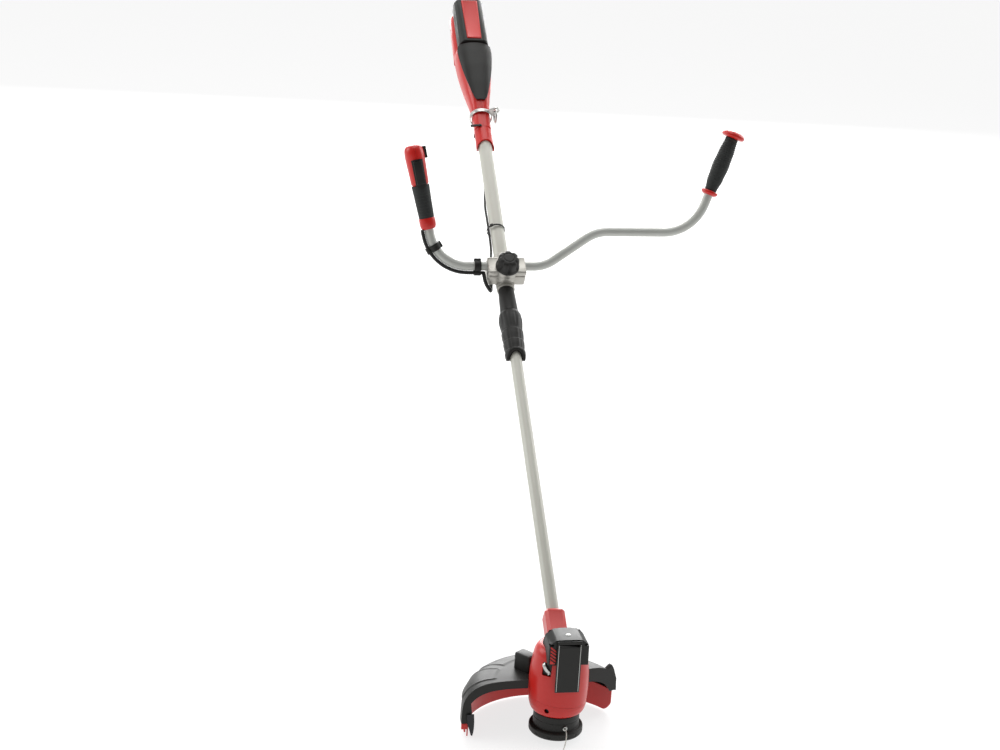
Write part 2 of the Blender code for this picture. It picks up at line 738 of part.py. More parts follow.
def build_shield():
    rows = []
    for along, half in [(t * MM, w * MM) for t, w in SHIELD_OUTLINE]:
        below = max(s for s in HOUSING_SECTIONS if s[0] <= along)
        above = min((s for s in HOUSING_SECTIONS if s[0] > along), default=below)
        share = (along - below[0]) / (above[0] - below[0]) if above is not below else 0
        section = [a + (b - a) * min(share, 1) for a, b in zip(below, above)]
        row = []
        for k in range(9):
            x = half * (-1 + k / 4)
            row.append((x, -(housing_height(x / 1.05, section) + 1.0 * MM), along))
        rows.append(row)
    piece(sheet(rows, 3.2 * MM, offset=outward_offset(rows)), "shield_cover", BLACK, shaft)


def outward_offset(rows):
    """Solidify's offset that thickens a sheet away from the shaft, whichever way its faces turned."""
    a, b, c = (Vector(p) for p in (rows[0][0], rows[0][1], rows[1][0]))
    return 1.0 if (b - a).cross(c - a).y < 0 else -1.0


def build_rear_fittings():
    board = piece(box((40 * MM, 1.6 * MM, 76 * MM)), "controller_board", BOARD, shaft, (0, 4 * MM, 1280 * MM))
    for i, along in enumerate((-24 * MM, 0, 24 * MM)):
        can = cylinder(6 * MM, 20 * MM, 16)
        spot = (10 * MM, -9 * MM, along)
        combine(board, tool(can, f"capacitor_{i}", board, spot, (pi / 2, 0, 0)), "UNION")
    heat_sink = tool(box((14 * MM, 16 * MM, 66 * MM)), "heat_sink", board, (-11 * MM, -7 * MM, 0))
    combine(board, heat_sink, "UNION")

    block = box((24 * MM, 9 * MM, 14 * MM), 1 * MM)
    piece(block, "battery_terminal", BLACK, shaft, (0, -12.5 * MM, BED_FROM + 5 * MM))



# The harness bracket is a steel band round the neck with an ear to its upper right; its ring hangs from
# the ear's hole, clear of the band.

BAND_R = 21.6 * MM
EAR_HALF, EAR_HOLE_R = 8 * MM, 4.2 * MM
RING_R, RING_WIRE = 13 * MM, 2 * MM


def build_harness():
    eye = Vector((EYE_X, -EYE_N, 0))
    outward = eye.normalized()
    side = Vector((-outward.y, outward.x, 0))
    root = outward * (BAND_R + 0.6 * MM)
    tip = [eye + outward * x + side * y for x, y in arc((0, 0), EAR_HALF, -pi / 2, pi / 2, 7)]
    outline = [root - side * 1.3 * EAR_HALF, *tip, root + side * 1.3 * EAR_HALF]
    band = sleeve(BAND_R + 1.8 * MM, BAND_R, -4 * MM, 4 * MM)
    piece(band, "harness_bracket", STEEL, shaft, (0, 0, HARNESS_T))
    ear = as_mesh(plate([(v.x, v.y) for v in outline], 3 * MM))
    combine(band, tool(ear, "harness_ear", band), "UNION")
    combine(band, tool(cylinder(EAR_HOLE_R, 12 * MM, 16), "ear_hole", band, tuple(eye)))

    ring_axis = frame("harness_ring_axis", shaft, tuple(eye + Vector((0, 0, HARNESS_T))))
    upright = Matrix.Rotation(pi / 2 - SHAFT_ANGLE, 3, "X")
    loop = [upright @ Vector((0, y, z)) for y, z in arc((0, -RING_R), RING_R, 0, 2 * pi, 25)[:-1]]
    piece(wire(loop, RING_WIRE, cyclic=True), "harness_ring", STEEL, ring_axis)


# Battery pack: a section across the pack is narrower at its top

PACK_LOW, PACK_HIGH = 9.5 * MM, 47 * MM
PACK_FROM, PACK_TO = BED_FROM + 1.5 * MM, 1472 * MM


def build_battery():
    slide = frame("battery_slide", shaft, (0, 0, PACK_FROM))
    length = PACK_TO - PACK_FROM
    section = [
        (-30 * MM, PACK_LOW),
        (30 * MM, PACK_LOW),
        (31 * MM, 28 * MM),
        (29 * MM, 36 * MM),
        (23 * MM, PACK_HIGH - 1 * MM),
        (19 * MM, PACK_HIGH),
        (-19 * MM, PACK_HIGH),
        (-23 * MM, PACK_HIGH - 1 * MM),
        (-29 * MM, 36 * MM),
        (-31 * MM, 28 * MM),
    ]
    case = as_mesh(plate([(x, -n) for x, n in section], length))
    piece(case, "battery_case", BLACK, slide, (0, 0, length / 2))
    socket = tool(box((26 * MM, 12 * MM, 34 * MM)), "terminal_slot", slide, (0, -12.5 * MM, 0))
    recess_outline = [(-15.2, 6), (15.2, 6), (17.2, length / MM - 6), (-17.2, length / MM - 6)]
    recess = as_mesh(plate([(x * MM, z * MM) for x, z in recess_outline], 4 * MM))
    recess = tool(recess, "panel_recess", slide, (0, -PACK_HIGH, 0), (pi / 2, 0, 0))
    latch_well = tool(box((22.6 * MM, 12.6 * MM, 12 * MM)), "latch_well", slide, (0, -26 * MM, length))
    for cutter in (socket, recess, latch_well):
        combine(case, cutter)

    panel_outline = [(-14.8, 6.4), (14.8, 6.4), (16.8, length / MM - 6.4), (-16.8, length / MM - 6.4)]
    panel = plate([(x * MM, z * MM) for x, z in panel_outline], 2.6 * MM)
    piece(panel, "battery_panel", RED, slide, (0, -(PACK_HIGH - 0.3 * MM), 0), (pi / 2, 0, 0))
    latch = frame("battery_latch_axis", slide, (0, -26 * MM, length - 1 * MM))
    piece(box((22 * MM, 12 * MM, 5 * MM), 1 * MM), "battery_latch", RED, latch)


# Cutting head

HOUSING_OUTER = [
    (30 * MM, 164 * MM),
    (39 * MM, 159.5 * MM),
    (44.5 * MM, 150 * MM),
    (48.5 * MM, 128 * MM),
    (HEAD_R, 100 * MM),
    (HEAD_R, 90 * MM),
    (49.8 * MM, RING_TOP + GAP),
]
HOOD_X, HOOD_WIDTH = 3 * MM, 68 * MM


def build_motor_housing():
    wall = 2.6 * MM
    solid = [(0, 164 * MM)] + HOUSING_OUTER + [(0, RING_TOP + GAP)]
    hollow = [(0, 164 * MM - wall)]
    hollow += [(r - wall, z - (wall if r < 31 * MM else 0)) for r, z in HOUSING_OUTER[:-1]]
    hollow += [(HOUSING_OUTER[-1][0] - wall, 60 * MM), (0, 60 * MM)]
    made = piece(turned(solid, 24), "motor_housing", RED, head)
    socket = tool(box((35 * MM, 37 * MM, 72 * MM), 6 * MM), "tube_socket", shaft, (0, 0, -48 * MM))
    combine(made, socket, "UNION")
    cavity = tool(turned(hollow, 24), "motor_cavity", head)
    bore = tool(cylinder(LOWER_TUBE_R + GAP, 70 * MM), "socket_bore", shaft, (0, 0, -25 * MM))
    hood_room = tool(hood_body(GAP, 0), "hood_room", head, (HOOD_X, 0, 0))
    for cutter in (cavity, bore, hood_room):
        combine(made, cutter)
    for i in range(4):
        spot = (-36 * MM, -33 * MM, (141 + 5.5 * i) * MM)
        vent = box((16 * MM, 16 * MM, 2.2 * MM))
        combine(made, tool(vent, f"vent_{i}", head, spot, (0, radians(28), radians(48))))


def hood_body(grow, wall):
    """The black hood over the motor's front: flat front and sides, and a raised flat on its top."""
    half = HOOD_WIDTH / 2 + grow - wall
    low = 146 * MM - grow - (4 * MM if wall else 0)
    shoulder = [(34, 178), (31.5, 184), (25, 188), (21, 192)]
    outline = [(-half, low), (half, low)]
    outline += [(x * MM + grow - wall, z * MM + grow - wall) for x, z in shoulder]
    outline += [(-x, z) for x, z in outline[:1:-1]]
    deep = 46 * MM + 2 * grow - 2 * wall
    made = as_mesh(plate(outline, deep))
    made.data.transform(Matrix.Translation((0, -27 * MM, 0)) @ Matrix.Rotation(pi / 2, 4, "X"))
    return made


def build_hood():
    hood = piece(hood_body(0, 0), "front_shell", BLACK, head, (HOOD_X, 0, 0))
    combine(hood, tool(hood_body(0, 2.5 * MM), "hood_cavity", head, (HOOD_X, 0, 0)))
    strip = box((42 * MM, 3.2 * MM, 94 * MM), 1 * MM)
    piece(strip, "cover_panel", BLACK, head, (HOOD_X, -53.2 * MM, 144 * MM))


def build_head_ring():
    ring = [
        (49.8 * MM, RING_TOP),
        (49.4 * MM, 57 * MM),
        (47.4 * MM, 49 * MM),
        (43.6 * MM, 43 * MM),
        (9 * MM, 43 * MM),
        (9 * MM, 49 * MM),
        (14.5 * MM, 49 * MM),
        (14.5 * MM, 63 * MM),
        (17 * MM, 63 * MM),
        (17 * MM, 47 * MM),
        (44 * MM, 47 * MM),
        (46.8 * MM, 58 * MM),
        (46.8 * MM, RING_TOP),
    ]
    piece(turned(ring, 24, hollow=True), "head_ring", RED, head)


def build_motor():
    piece(sleeve(44 * MM, 21 * MM, 88 * MM, 123 * MM), "stator", COPPER, head)
    shaft_r = 4 * MM
    rotor = [
        (0, 143 * MM),
        (shaft_r, 143 * MM),
        (shaft_r, 127 * MM),
        (20 * MM, 125 * MM),
        (20 * MM, 86 * MM),
        (shaft_r, 84 * MM),
        (shaft_r, 41.5 * MM),
        (7 * MM, 41.5 * MM),
        (7 * MM, 30 * MM),
        (0, 30 * MM),
    ]
    piece(turned(rotor), "rotor", STEEL, head)
    for name, low in (("bearing_lower", 50 * MM), ("bearing_upper", 131 * MM)):
        piece(sleeve(14.2 * MM, shaft_r + GAP, low, low + 9 * MM), name, STEEL, head)


def build_spool():
    case = [
        (37.5 * MM, NECK_TOP),
        (NECK_R, 39.5 * MM),
        (NECK_R, 15 * MM),
        (43 * MM, 14 * MM),
        (FLANGE_R, 11.5 * MM),
        (FLANGE_R, 3 * MM),
        (44 * MM, 0),
        (16.6 * MM, 0),
        (16.6 * MM, 2.5 * MM),
        (37 * MM, 2.5 * MM),
        (37 * MM, 38.4 * MM),
        (7.3 * MM, 38.4 * MM),
        (7.3 * MM, NECK_TOP),
    ]
    made = piece(turned(case, 24, hollow=True), "spool_case", BLACK, head)
    across = Vector((cos(EYELET_AT), sin(EYELET_AT), 0))
    for name, side in (("front", 1), ("rear", -1)):
        turn = EYELET_AT + (pi if side < 0 else 0)
        seat = tuple(across * side * 38 * MM + Vector((0, 0, EYELET_Z)))
        hole = tool(cylinder(3.3 * MM, 12 * MM, 16), f"eyelet_hole_{name}", head, seat, (0, pi / 2, turn))
        combine(made, hole)
        eyelet = [
            (3.0 * MM, 2.6 * MM + 1.2 * MM),
            (4.2 * MM, 2.4 * MM + 1.2 * MM),
            (4.2 * MM, 1.7 * MM + 0.6 * MM),
            (3.0 * MM, 1.7 * MM + 0.6 * MM),
            (3.0 * MM, -1.5 * MM),
            (1.6 * MM, -1.5 * MM),
            (1.6 * MM, 2.6 * MM + 1.2 * MM),
        ]
        piece(turned(eyelet, 16, hollow=True), f"eyelet_{name}", STEEL, head, seat, (0, pi / 2, turn))
        route = smooth_route([turned_point(point, side) for point in LINE_ROUTE], 5 * MM)
        piece(wire(route, LINE_R, 2), f"cutting_line_{name}", LINE, head)


# The free end of the cutting line: (distance from the spool axis, angle, height)
LINE_ROUTE = [
    (42.6 * MM, radians(-79), 21.0 * MM),
    (48.0 * MM, radians(-80), 20.4 * MM),
    (58.0 * MM, radians(-83), 18.0 * MM),
    (74.0 * MM, radians(-88), 13.5 * MM),
    (92.0 * MM, radians(-93), 9.0 * MM),
    (110.0 * MM, radians(-97), 5.0 * MM),
    (129.0 * MM, radians(-100), 1.5 * MM),
]


def turned_point(point, side):
    radius, angle, height = point
    return (side * radius * cos(angle), side * radius * sin(angle), height)


def build_bump_head():
    axis = frame("bump_axis", head)
    knob = [
        (0, 5 * MM),
        (13.6 * MM, 5 * MM),
        (13.6 * MM, 3 * MM),
        (15.8 * MM, 3 * MM),
        (15.8 * MM, -6 * MM),
        (13 * MM, -10 * MM),
        (0, -10 * MM),
    ]
    piece(turned(knob), "bump_knob", BLACK, axis)
    piece(turned(spool_profile(), 24), "line_spool", LINE, axis)
    spring = wire(coil(11 * MM, 10 * MM, 37.2 * MM, 4, 10), 0.8 * MM, 0)
    piece(spring, "spool_spring", STEEL, axis)


def spool_profile():
    """The wound line on its bobbin: a cup, open upwards for the spring."""
    return [
        (0, 8.5 * MM),
        (14 * MM, 8.5 * MM),
        (14 * MM, 31 * MM),
        (35 * MM, 31 * MM),
        (35 * MM, 29.5 * MM),
        (30 * MM, 28.5 * MM),
        (30 * MM, 9 * MM),
        (35 * MM, 8 * MM),
        (35 * MM, 5.4 * MM),
        (0, 5.4 * MM),
    ]


# Guard: a domed canopy with a skirt, turned about its own centre; the red extension hangs inside it

CANOPY_OUTER = [
    (30, 94),
    (60, 94),
    (88, 92.5),
    (112, 88),
    (130, 79),
    (142, 66),
    (148.5, 48),
    (150, 16),
]
GUARD_WALL = 3 * MM
GUARD_FIN = [(120, 77), (132, 87), (136, 88), (142, 78), (149, 58), (149, 42), (146, 40), (136, 56), (126, 68)]


def swept(section, start, end, steps):
    """A closed (radius, height) section swept about Z, with flat ends."""
    shape = bmesh.new()
    corners = [shape.verts.new((r * cos(start), r * sin(start), z)) for r, z in section]
    face = shape.faces.new(corners)
    bmesh.ops.spin(
        shape,
        geom=[face, *face.edges, *face.verts],
        cent=(0, 0, 0),
        axis=(0, 0, 1),
        angle=end - start,
        steps=steps,
        use_duplicate=False,
    )
    return from_bmesh(shape)


def end_wall(angle, depth, thickness, foot):
    """A web under the canopy's edge, as deep as its flange, ending at its foot."""
    top = [(r * MM - 1 * MM, z * MM - 1.5 * MM) for r, z in CANOPY_OUTER if z > foot[1] - 1]
    low = [(r * MM - depth * 0.35 - 1 * MM, z * MM - depth) for r, z in CANOPY_OUTER[:-2]]
    low += [(foot[0] * MM, foot[1] * MM)]
    shape = as_mesh(plate(top + low[::-1], thickness))
    shape.data.transform(Matrix.Rotation(angle, 4, "Z") @ Matrix.Rotation(pi / 2, 4, "X"))
    return shape


def build_guard():
    centre = (GUARD_CENTRE_X, 0, 0)
    outer = [(r * MM, z * MM) for r, z in CANOPY_OUTER]
    inner = [(r - 0.3 * GUARD_WALL, z - GUARD_WALL) for r, z in outer[:3]]
    inner += [(r - 0.9 * GUARD_WALL, z - GUARD_WALL) for r, z in outer[3:5]]
    inner += [(r - 0.9 * GUARD_WALL, z - 0.25 * GUARD_WALL) for r, z in outer[5:-1]]
    inner += [(GUARD_R - GUARD_WALL, outer[-1][1])]
    made = piece(swept(outer + inner[::-1], GUARD_FROM, GUARD_TO, 14), "guard", BLACK, head, centre)
    half = 1.6 * MM
    left = tool(end_wall(pi, 15 * MM, 2 * half, (130, 16)), "guard_edge_left", made, (0, half * 0.9, 0))
    combine(made, left, "UNION")
    turn = GUARD_FROM
    shift = (-sin(turn) * half * 0.9, cos(turn) * half * 0.9, 0)
    right = tool(end_wall(turn, 24 * MM, 2 * half, (136, 37)), "guard_edge_right", made, shift)
    combine(made, right, "UNION")
    fin = as_mesh(plate([(r * MM, z * MM) for r, z in GUARD_FIN], 7 * MM))
    fin.data.transform(Matrix.Rotation(turn, 4, "Z") @ Matrix.Rotation(pi / 2, 4, "X"))
    at = (-sin(turn) * 3.5 * MM, cos(turn) * 3.5 * MM, 0)
    combine(made, tool(fin, "guard_fin", made, at), "UNION")
    notch_at = (150 * MM * cos(turn) - 6 * MM * sin(turn), 150 * MM * sin(turn) + 6 * MM * cos(turn), 6 * MM)
    combine(made, tool(box((20 * MM, 18 * MM, 60 * MM)), "rim_notch", made, notch_at, (0, 0, turn)))
    tower = box((24 * MM, 34 * MM, 44 * MM), 4 * MM)
    tower_at = (-50 * MM, 44 * MM, 102 * MM)
    combine(made, tool(tower, "guard_tower", head, tower_at, (0, 0, radians(40))), "UNION")
    clearance = tool(cylinder(HEAD_R + 1.2 * MM, 0.2, 40), "housing_clearance", head, (0, 0, 120 * MM))
    socket_room = tool(box((37 * MM, 60 * MM, 120 * MM)), "socket_clearance", shaft, (0, 10 * MM, -60 * MM))
    for cutter in (clearance, socket_room):
        combine(made, cutter)

    skirt_out = GUARD_R - 2 * GUARD_WALL
    skirt_in = skirt_out - 2.6 * MM
    skirt = [(skirt_out, 36 * MM), (skirt_out, -8 * MM), (skirt_in, -8 * MM), (skirt_in, 36 * MM)]
    gap_angle = 4 * MM / GUARD_R
    extension = swept(skirt, GUARD_FROM + gap_angle, GUARD_TO - gap_angle, 14)
    piece(extension, "guard_extension", RED, head, centre)

    blade = [(-6, 14), (-5, 0), (-1, -14), (1.5, -26), (5, -28), (7, -12), (6, 14)]
    holder = plate([(x * MM, z * MM) for x, z in blade], 2 * MM)
    piece(holder, "line_cutter", STEEL, head, (-149 * MM, -2.4 * MM, 20 * MM), (pi / 2, 0, 0))


build_tubes()
build_connector()
build_leads()
build_clamp()
build_handlebar()
build_plain_grip()
build_trigger_handle()
build_cable()
build_cable_holders()
build_rear_housing()
build_shield()
build_rear_fittings()
build_harness()
build_battery()
build_motor_housing()
build_hood()
build_head_ring()
build_motor()
build_spool()
build_bump_head()
build_guard()
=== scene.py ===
# Cordless brush cutter: motor head and guard, split shaft, bull-horn handlebar, rear battery unit.

import json
from math import cos, pi, radians, sin, tan

import bmesh
import bpy
from mathutils import Matrix, Vector


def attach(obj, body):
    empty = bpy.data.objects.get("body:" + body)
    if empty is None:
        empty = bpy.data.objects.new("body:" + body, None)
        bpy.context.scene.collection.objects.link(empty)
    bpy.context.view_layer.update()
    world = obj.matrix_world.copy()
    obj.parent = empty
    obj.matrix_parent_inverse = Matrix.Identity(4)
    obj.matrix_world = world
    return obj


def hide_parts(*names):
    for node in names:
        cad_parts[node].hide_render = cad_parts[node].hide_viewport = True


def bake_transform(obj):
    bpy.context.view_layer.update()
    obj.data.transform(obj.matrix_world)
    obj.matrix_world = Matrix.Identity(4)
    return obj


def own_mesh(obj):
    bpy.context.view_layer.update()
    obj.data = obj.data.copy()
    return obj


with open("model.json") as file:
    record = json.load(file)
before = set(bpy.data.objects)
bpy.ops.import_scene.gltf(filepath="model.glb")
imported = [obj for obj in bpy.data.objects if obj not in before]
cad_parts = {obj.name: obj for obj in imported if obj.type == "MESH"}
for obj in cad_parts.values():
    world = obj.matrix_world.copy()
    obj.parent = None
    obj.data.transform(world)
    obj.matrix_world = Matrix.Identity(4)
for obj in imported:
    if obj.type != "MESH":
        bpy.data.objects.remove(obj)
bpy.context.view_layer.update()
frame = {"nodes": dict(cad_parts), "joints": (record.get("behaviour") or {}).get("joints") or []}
joint = {made["name"]: made for made in frame["joints"]}

# Camera: a long lens that stands to the left of the tool and looks down on it, a little rolled. The head
# frame has the spool's axis as Z and its zero under the spool's flange.

head = Matrix.Translation(joint["spool_spin"]["pos_m"])
eye = head @ Vector((-0.7585, -3.2867, 1.7918))
turn, tip, roll = radians(-10.783), radians(18.956), radians(3.387)
ahead = Vector((-sin(turn) * cos(tip), cos(turn) * cos(tip), -sin(tip)))
level = Vector((cos(turn), sin(turn), 0))
upright = level.cross(ahead)
right = cos(roll) * level + sin(roll) * upright
above = cos(roll) * upright - sin(roll) * level
lens = bpy.data.cameras.new("camera")
lens.sensor_width, lens.lens = 36, 79.2
camera = bpy.data.objects.new("camera", lens)
camera.matrix_world = Matrix.Translation(eye) @ Matrix((right, above, -ahead)).transposed().to_4x4()
bpy.context.scene.collection.objects.link(camera)
bpy.context.scene.camera = camera
bpy.context.scene.view_settings.view_transform = "Standard"


# Cutting line: 2 mm round nylon monofilament, extruded and a little cloudy. It leaves each eyelet, holds
# its coil set for a few centimetres and droops to a cut end.

MM = 0.001


def linear(colour):
    """An sRGB hex colour as linear RGBA."""
    parts = [int(colour[i : i + 2], 16) / 255 for i in (1, 3, 5)]
    return (*[c / 12.92 if c <= 0.04045 else ((c + 0.055) / 1.055) ** 2.4 for c in parts], 1)


def new_material(name, colour, roughness, metallic=0.0, **sockets):
    """A named material and its Principled shader."""
    made = bpy.data.materials.new(name)
    made.use_nodes = True
    shader = made.node_tree.nodes["Principled BSDF"]
    values = {"Base Color": linear(colour), "Roughness": roughness, "Metallic": metallic, **sockets}
    for socket, value in values.items():
        shader.inputs[socket.replace("_", " ")].default_value = value
    return made


def node(material, kind, inputs, **settings):
    """Adds one node; an input is a value or another node's output socket."""
    made = material.node_tree.nodes.new(kind)
    for key, value in settings.items():
        setattr(made, key, value)
    for key, value in inputs.items():
        if isinstance(value, bpy.types.NodeSocket):
            material.node_tree.links.new(value, made.inputs[key])
        else:
            made.inputs[key].default_value = value
    return made


def grained(material, grain, depth, low, high, second=None, share=0.5):
    """Gives a finish its surface: grain in mm, bump depth in mm, roughness from low to high, and
    patches of a second colour."""
    tree = material.node_tree
    shader = tree.nodes["Principled BSDF"]
    where = node(material, "ShaderNodeTexCoord", {}).outputs["Object"]
    fine = node(material, "ShaderNodeTexNoise", {"Vector": where, "Scale": 1000 / grain, "Detail": 2.0})
    broad = node(material, "ShaderNodeTexNoise", {"Vector": where, "Scale": 28.0, "Detail": 5.0})
    rough = node(
        material, "ShaderNodeMapRange", {"Value": broad.outputs["Fac"], "To Min": low, "To Max": high}
    )
    tree.links.new(rough.outputs["Result"], shader.inputs["Roughness"])
    bump = node(material, "ShaderNodeBump", {"Height": fine.outputs["Fac"], "Distance": depth * MM})
    tree.links.new(bump.outputs["Normal"], shader.inputs["Normal"])
    if second:
        mix = node(material, "ShaderNodeMix", {"Factor": broad.outputs["Fac"]}, data_type="RGBA")
        first = shader.inputs["Base Color"].default_value[:]
        mix.inputs["A"].default_value = first
        toward = [a + (b - a) * share for a, b in zip(first, linear(second))]
        mix.inputs["B"].default_value = toward
        tree.links.new(mix.outputs["Result"], shader.inputs["Base Color"])
    return material


def route(points, every):
    """Evenly spaced points on a smooth curve through a few."""
    spots = [Vector(p) for p in points]
    spots = [2 * spots[0] - spots[1], *spots, 2 * spots[-1] - spots[-2]]
    fine = []
    for a, b, c, d in zip(spots, spots[1:], spots[2:], spots[3:]):
        for k in range(40):
            s = k / 40
            square, cube = 2 * a - 5 * b + 4 * c - d, 3 * b - a - 3 * c + d
            fine.append((2 * b + (c - a) * s + square * s**2 + cube * s**3) / 2)
    fine.append(spots[-2])
    made, run = [fine[0]], 0.0
    for before, here in zip(fine, fine[1:]):
        run += (here - before).length
        if run >= every:
            made.append(here)
            run = 0.0
    return made + [fine[-1]]


# Extruded nylon lets a little light through, so the line reads pale and soft-edged.
nylon = new_material("nylon_line", "#E4E5DC", 0.35, Transmission_Weight=0.25, IOR=1.53)
grained(nylon, 1.2, 0.02, 0.3, 0.45)
LINE_POINTS = [
    (42.6, -79, 21), (48, -80, 20.4), (58, -83, 18), (74, -88, 13.5), (92, -93, 9), (110, -97, 5),
    (129, -100, 1.5),
]
for name, side in (("front", 1), ("rear", -1)):
    points = [
        Vector((side * r * cos(radians(a)), side * r * sin(radians(a)), z)) for r, a, z in LINE_POINTS
    ]
    points = [head @ (p * MM) for p in route(points, 3)]
    length = sum((b - a).length for a, b in zip(points, points[1:]))
    curve = bpy.data.curves.new("line_end_" + name, "CURVE")
    curve.dimensions, curve.bevel_depth, curve.bevel_resolution = "3D", 1.0 * MM, 3
    curve.use_fill_caps = True
    spline = curve.splines.new("POLY")
    spline.points.add(len(points) - 1)
    for spot, point in zip(spline.points, points):
        spot.co = (*point, 1)
    curve.materials.append(nylon)
    line_end = bpy.data.objects.new("line_end_" + name, curve)
    bpy.context.scene.collection.objects.link(line_end)
    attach(line_end, "spool_drive")
    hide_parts("cutting_line_" + name)
    tuple(points[0])
frame["nodes"]["line_spool"].data.materials.clear()
frame["nodes"]["line_spool"].data.materials.append(nylon)


# Shaft: two drawn steel tubes with a light grey powder coat, the lower one sliding into the upper. Their
# frame has the tube as Z and -Y on its upper side, with zero at the mouth of the head's socket. Shapes are
# in millimetres until add() puts them in place.

SHAFT_ANGLE = radians(33)
shaft = head @ Matrix.Translation((0, 0.091, 0.188)) @ Matrix.Rotation(SHAFT_ANGLE - pi / 2, 4, "X")


def softened(points, radius, steps=3):
    """A profile with its corners rounded."""
    made = [Vector(points[0])]
    for before, here, after in zip(points, points[1:], points[2:]):
        before, here, after = Vector(before), Vector(here), Vector(after)
        reach_in = min(radius, (before - here).length * 0.45)
        reach_out = min(radius, (after - here).length * 0.45)
        a = here + (before - here).normalized() * reach_in
        b = here + (after - here).normalized() * reach_out
        for k in range(steps + 1):
            s = k / steps
            made.append(a * (1 - s) ** 2 + here * 2 * s * (1 - s) + b * s**2)
    return made + [Vector(points[-1])]


def turned(profile, steps=72, sweep=2 * pi, cyclic=False):
    """A profile of (radius, height) spun round Z."""
    shape = bmesh.new()
    line = [shape.verts.new((r, 0, z)) for r, z in profile]
    edges = [shape.edges.new(pair) for pair in zip(line, line[1:] + (line[:1] if cyclic else []))]
    full = sweep > 6.28
    bmesh.ops.spin(
        shape, geom=line + edges, cent=(0, 0, 0), axis=(0, 0, 1), angle=sweep, steps=steps, use_merge=full
    )
    bmesh.ops.remove_doubles(shape, verts=shape.verts, dist=0.003)
    bmesh.ops.recalc_face_normals(shape, faces=shape.faces)
    return shape


def add(shape, name, place, material, body, nodes=(), sharp=38, bevel=0.0):
    """Puts a finished shape in place as a piece that rides on a body and stands for CAD nodes."""
    shape.transform(place @ Matrix.Scale(MM, 4))
    mesh = bpy.data.meshes.new(name)
    shape.to_mesh(mesh)
    shape.free()
    mesh.shade_smooth()
    mesh.set_sharp_from_angle(angle=radians(sharp))
    mesh.materials.append(material)
    made = bpy.data.objects.new(name, mesh)
    bpy.context.scene.collection.objects.link(made)
    if bevel:
        step = made.modifiers.new("Edges", "BEVEL")
        step.width, step.segments, step.limit_method = bevel * MM, 2, "ANGLE"
        step.angle_limit, step.harden_normals = radians(sharp), False
    if body:
        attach(made, body)
    if nodes:
        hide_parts(*nodes)
    return made


# Baked powder gives a soft sheen with a faint orange peel.
powder_coat = new_material("light_grey_powder_coat", "#C6C6BC", 0.4, Coat_Weight=0.25, Coat_Roughness=0.3)
grained(powder_coat, 1.6, 0.03, 0.32, 0.5, "#B9B8AC", 0.6)


def pipe(radius, wall, low, high, steps=64):
    ring = [(radius, high), (radius, low), (radius - wall, low), (radius - wall, high), (radius, high)]
    middle = [(radius, (low + high) / 2), *ring[1:4], (radius, high), (radius, (low + high) / 2)]
    return turned(softened(middle, 0.5), steps)


add(pipe(11, 1.5, -55, 700), "lower_tube_painted", shaft, powder_coat, "lower_shaft",
    ["lower_tube"])
add(pipe(14, 1.5, 612, 1170), "upper_tube_painted", shaft, powder_coat, "upper_shaft",
    ["upper_tube"])


# Connector: a moulded black sleeve on the upper tube, and a lock nut that grips the lower tube. The nut
# has a scalloped bulb over three flared tiers, and a mouth arched at front and back.

# Glass filling leaves a matt, faintly grainy black that lifts to grey where light grazes it.
black_nylon = new_material("black_glass_filled_nylon", "#20201E", 0.45, Specular_IOR_Level=0.28)
grained(black_nylon, 0.9, 0.06, 0.36, 0.54, "#292927", 0.7)

sleeve = [
    (15.3, 708), (17.4, 651.3), (16.5, 651.3), (16.5, 580), (11.5, 580), (11.5, 611), (14.3, 611),
    (14.3, 707), (15.3, 708),
]
add(turned(softened(sleeve, 1.0)), "connector_sleeve_moulded", shaft, black_nylon, "upper_shaft",
    ["connector_sleeve"])

nut = [
    (17.4, 651), (19.4, 649.5), (21.2, 644), (22.4, 634), (22.4, 628), (21.4, 618), (20.2, 609),
    (19.9, 604.5), (21.2, 603), (20.8, 592), (19.6, 582), (19.4, 579.5), (20.4, 578), (19.8, 568),
    (18.7, 560), (18.5, 557.5), (19.9, 556), (19.8, 548), (18.4, 539.3), (11.9, 539.3), (11.9, 574),
    (16.9, 576), (16.9, 650.4), (17.4, 651),
]
shape = turned(softened(nut, 1.2), 120)
for vert in shape.verts:
    radius, angle = vert.co.xy.length, vert.co.to_2d().angle_signed(Vector((0, -1)), 0)
    if radius > 17.6 and 606 < vert.co.z < 650:
        share = sin((vert.co.z - 606) / 44 * pi)
        vert.co.xy *= 1 - 0.06 * share * max(0, -cos(10 * angle)) ** 2
    if radius > 17.6 and vert.co.z < 604:
        vert.co.xy *= 1 - 0.035 * max(0, -cos(6 * angle)) ** 4
    if vert.co.z < 556:
        vert.co.z += (556 - vert.co.z) * 0.75 * abs(cos(angle)) ** 1.5
add(shape, "lock_nut_fluted", shaft, black_nylon, "shaft_nut", ["lock_nut"])


# Handlebar clamp: a cast aluminium saddle on the tube and a cap over the bar, shot-blasted and lacquered,
# drawn together by one bolt with a big lobed knob of black nylon.


def moved(shape, *matrices):
    for matrix in matrices:
        shape.transform(matrix)
    return shape


def placed(x=0, y=0, z=0, turn=0.0, axis="Z"):
    return Matrix.Translation((x, y, z)) @ Matrix.Rotation(turn, 4, axis)


def rounded(shape, width, segments=3):
    bmesh.ops.bevel(
        shape, geom=shape.edges[:], offset=width, segments=segments, profile=0.5, affect="EDGES",
        material=-1, clamp_overlap=True,
    )
    return shape


def block(size, centre=(0, 0, 0), bevel=0.0, segments=3):
    shape = bmesh.new()
    bmesh.ops.create_cube(shape, size=1, matrix=Matrix.Translation(centre) @ Matrix.Diagonal((*size, 1)))
    return rounded(shape, bevel, segments) if bevel else shape


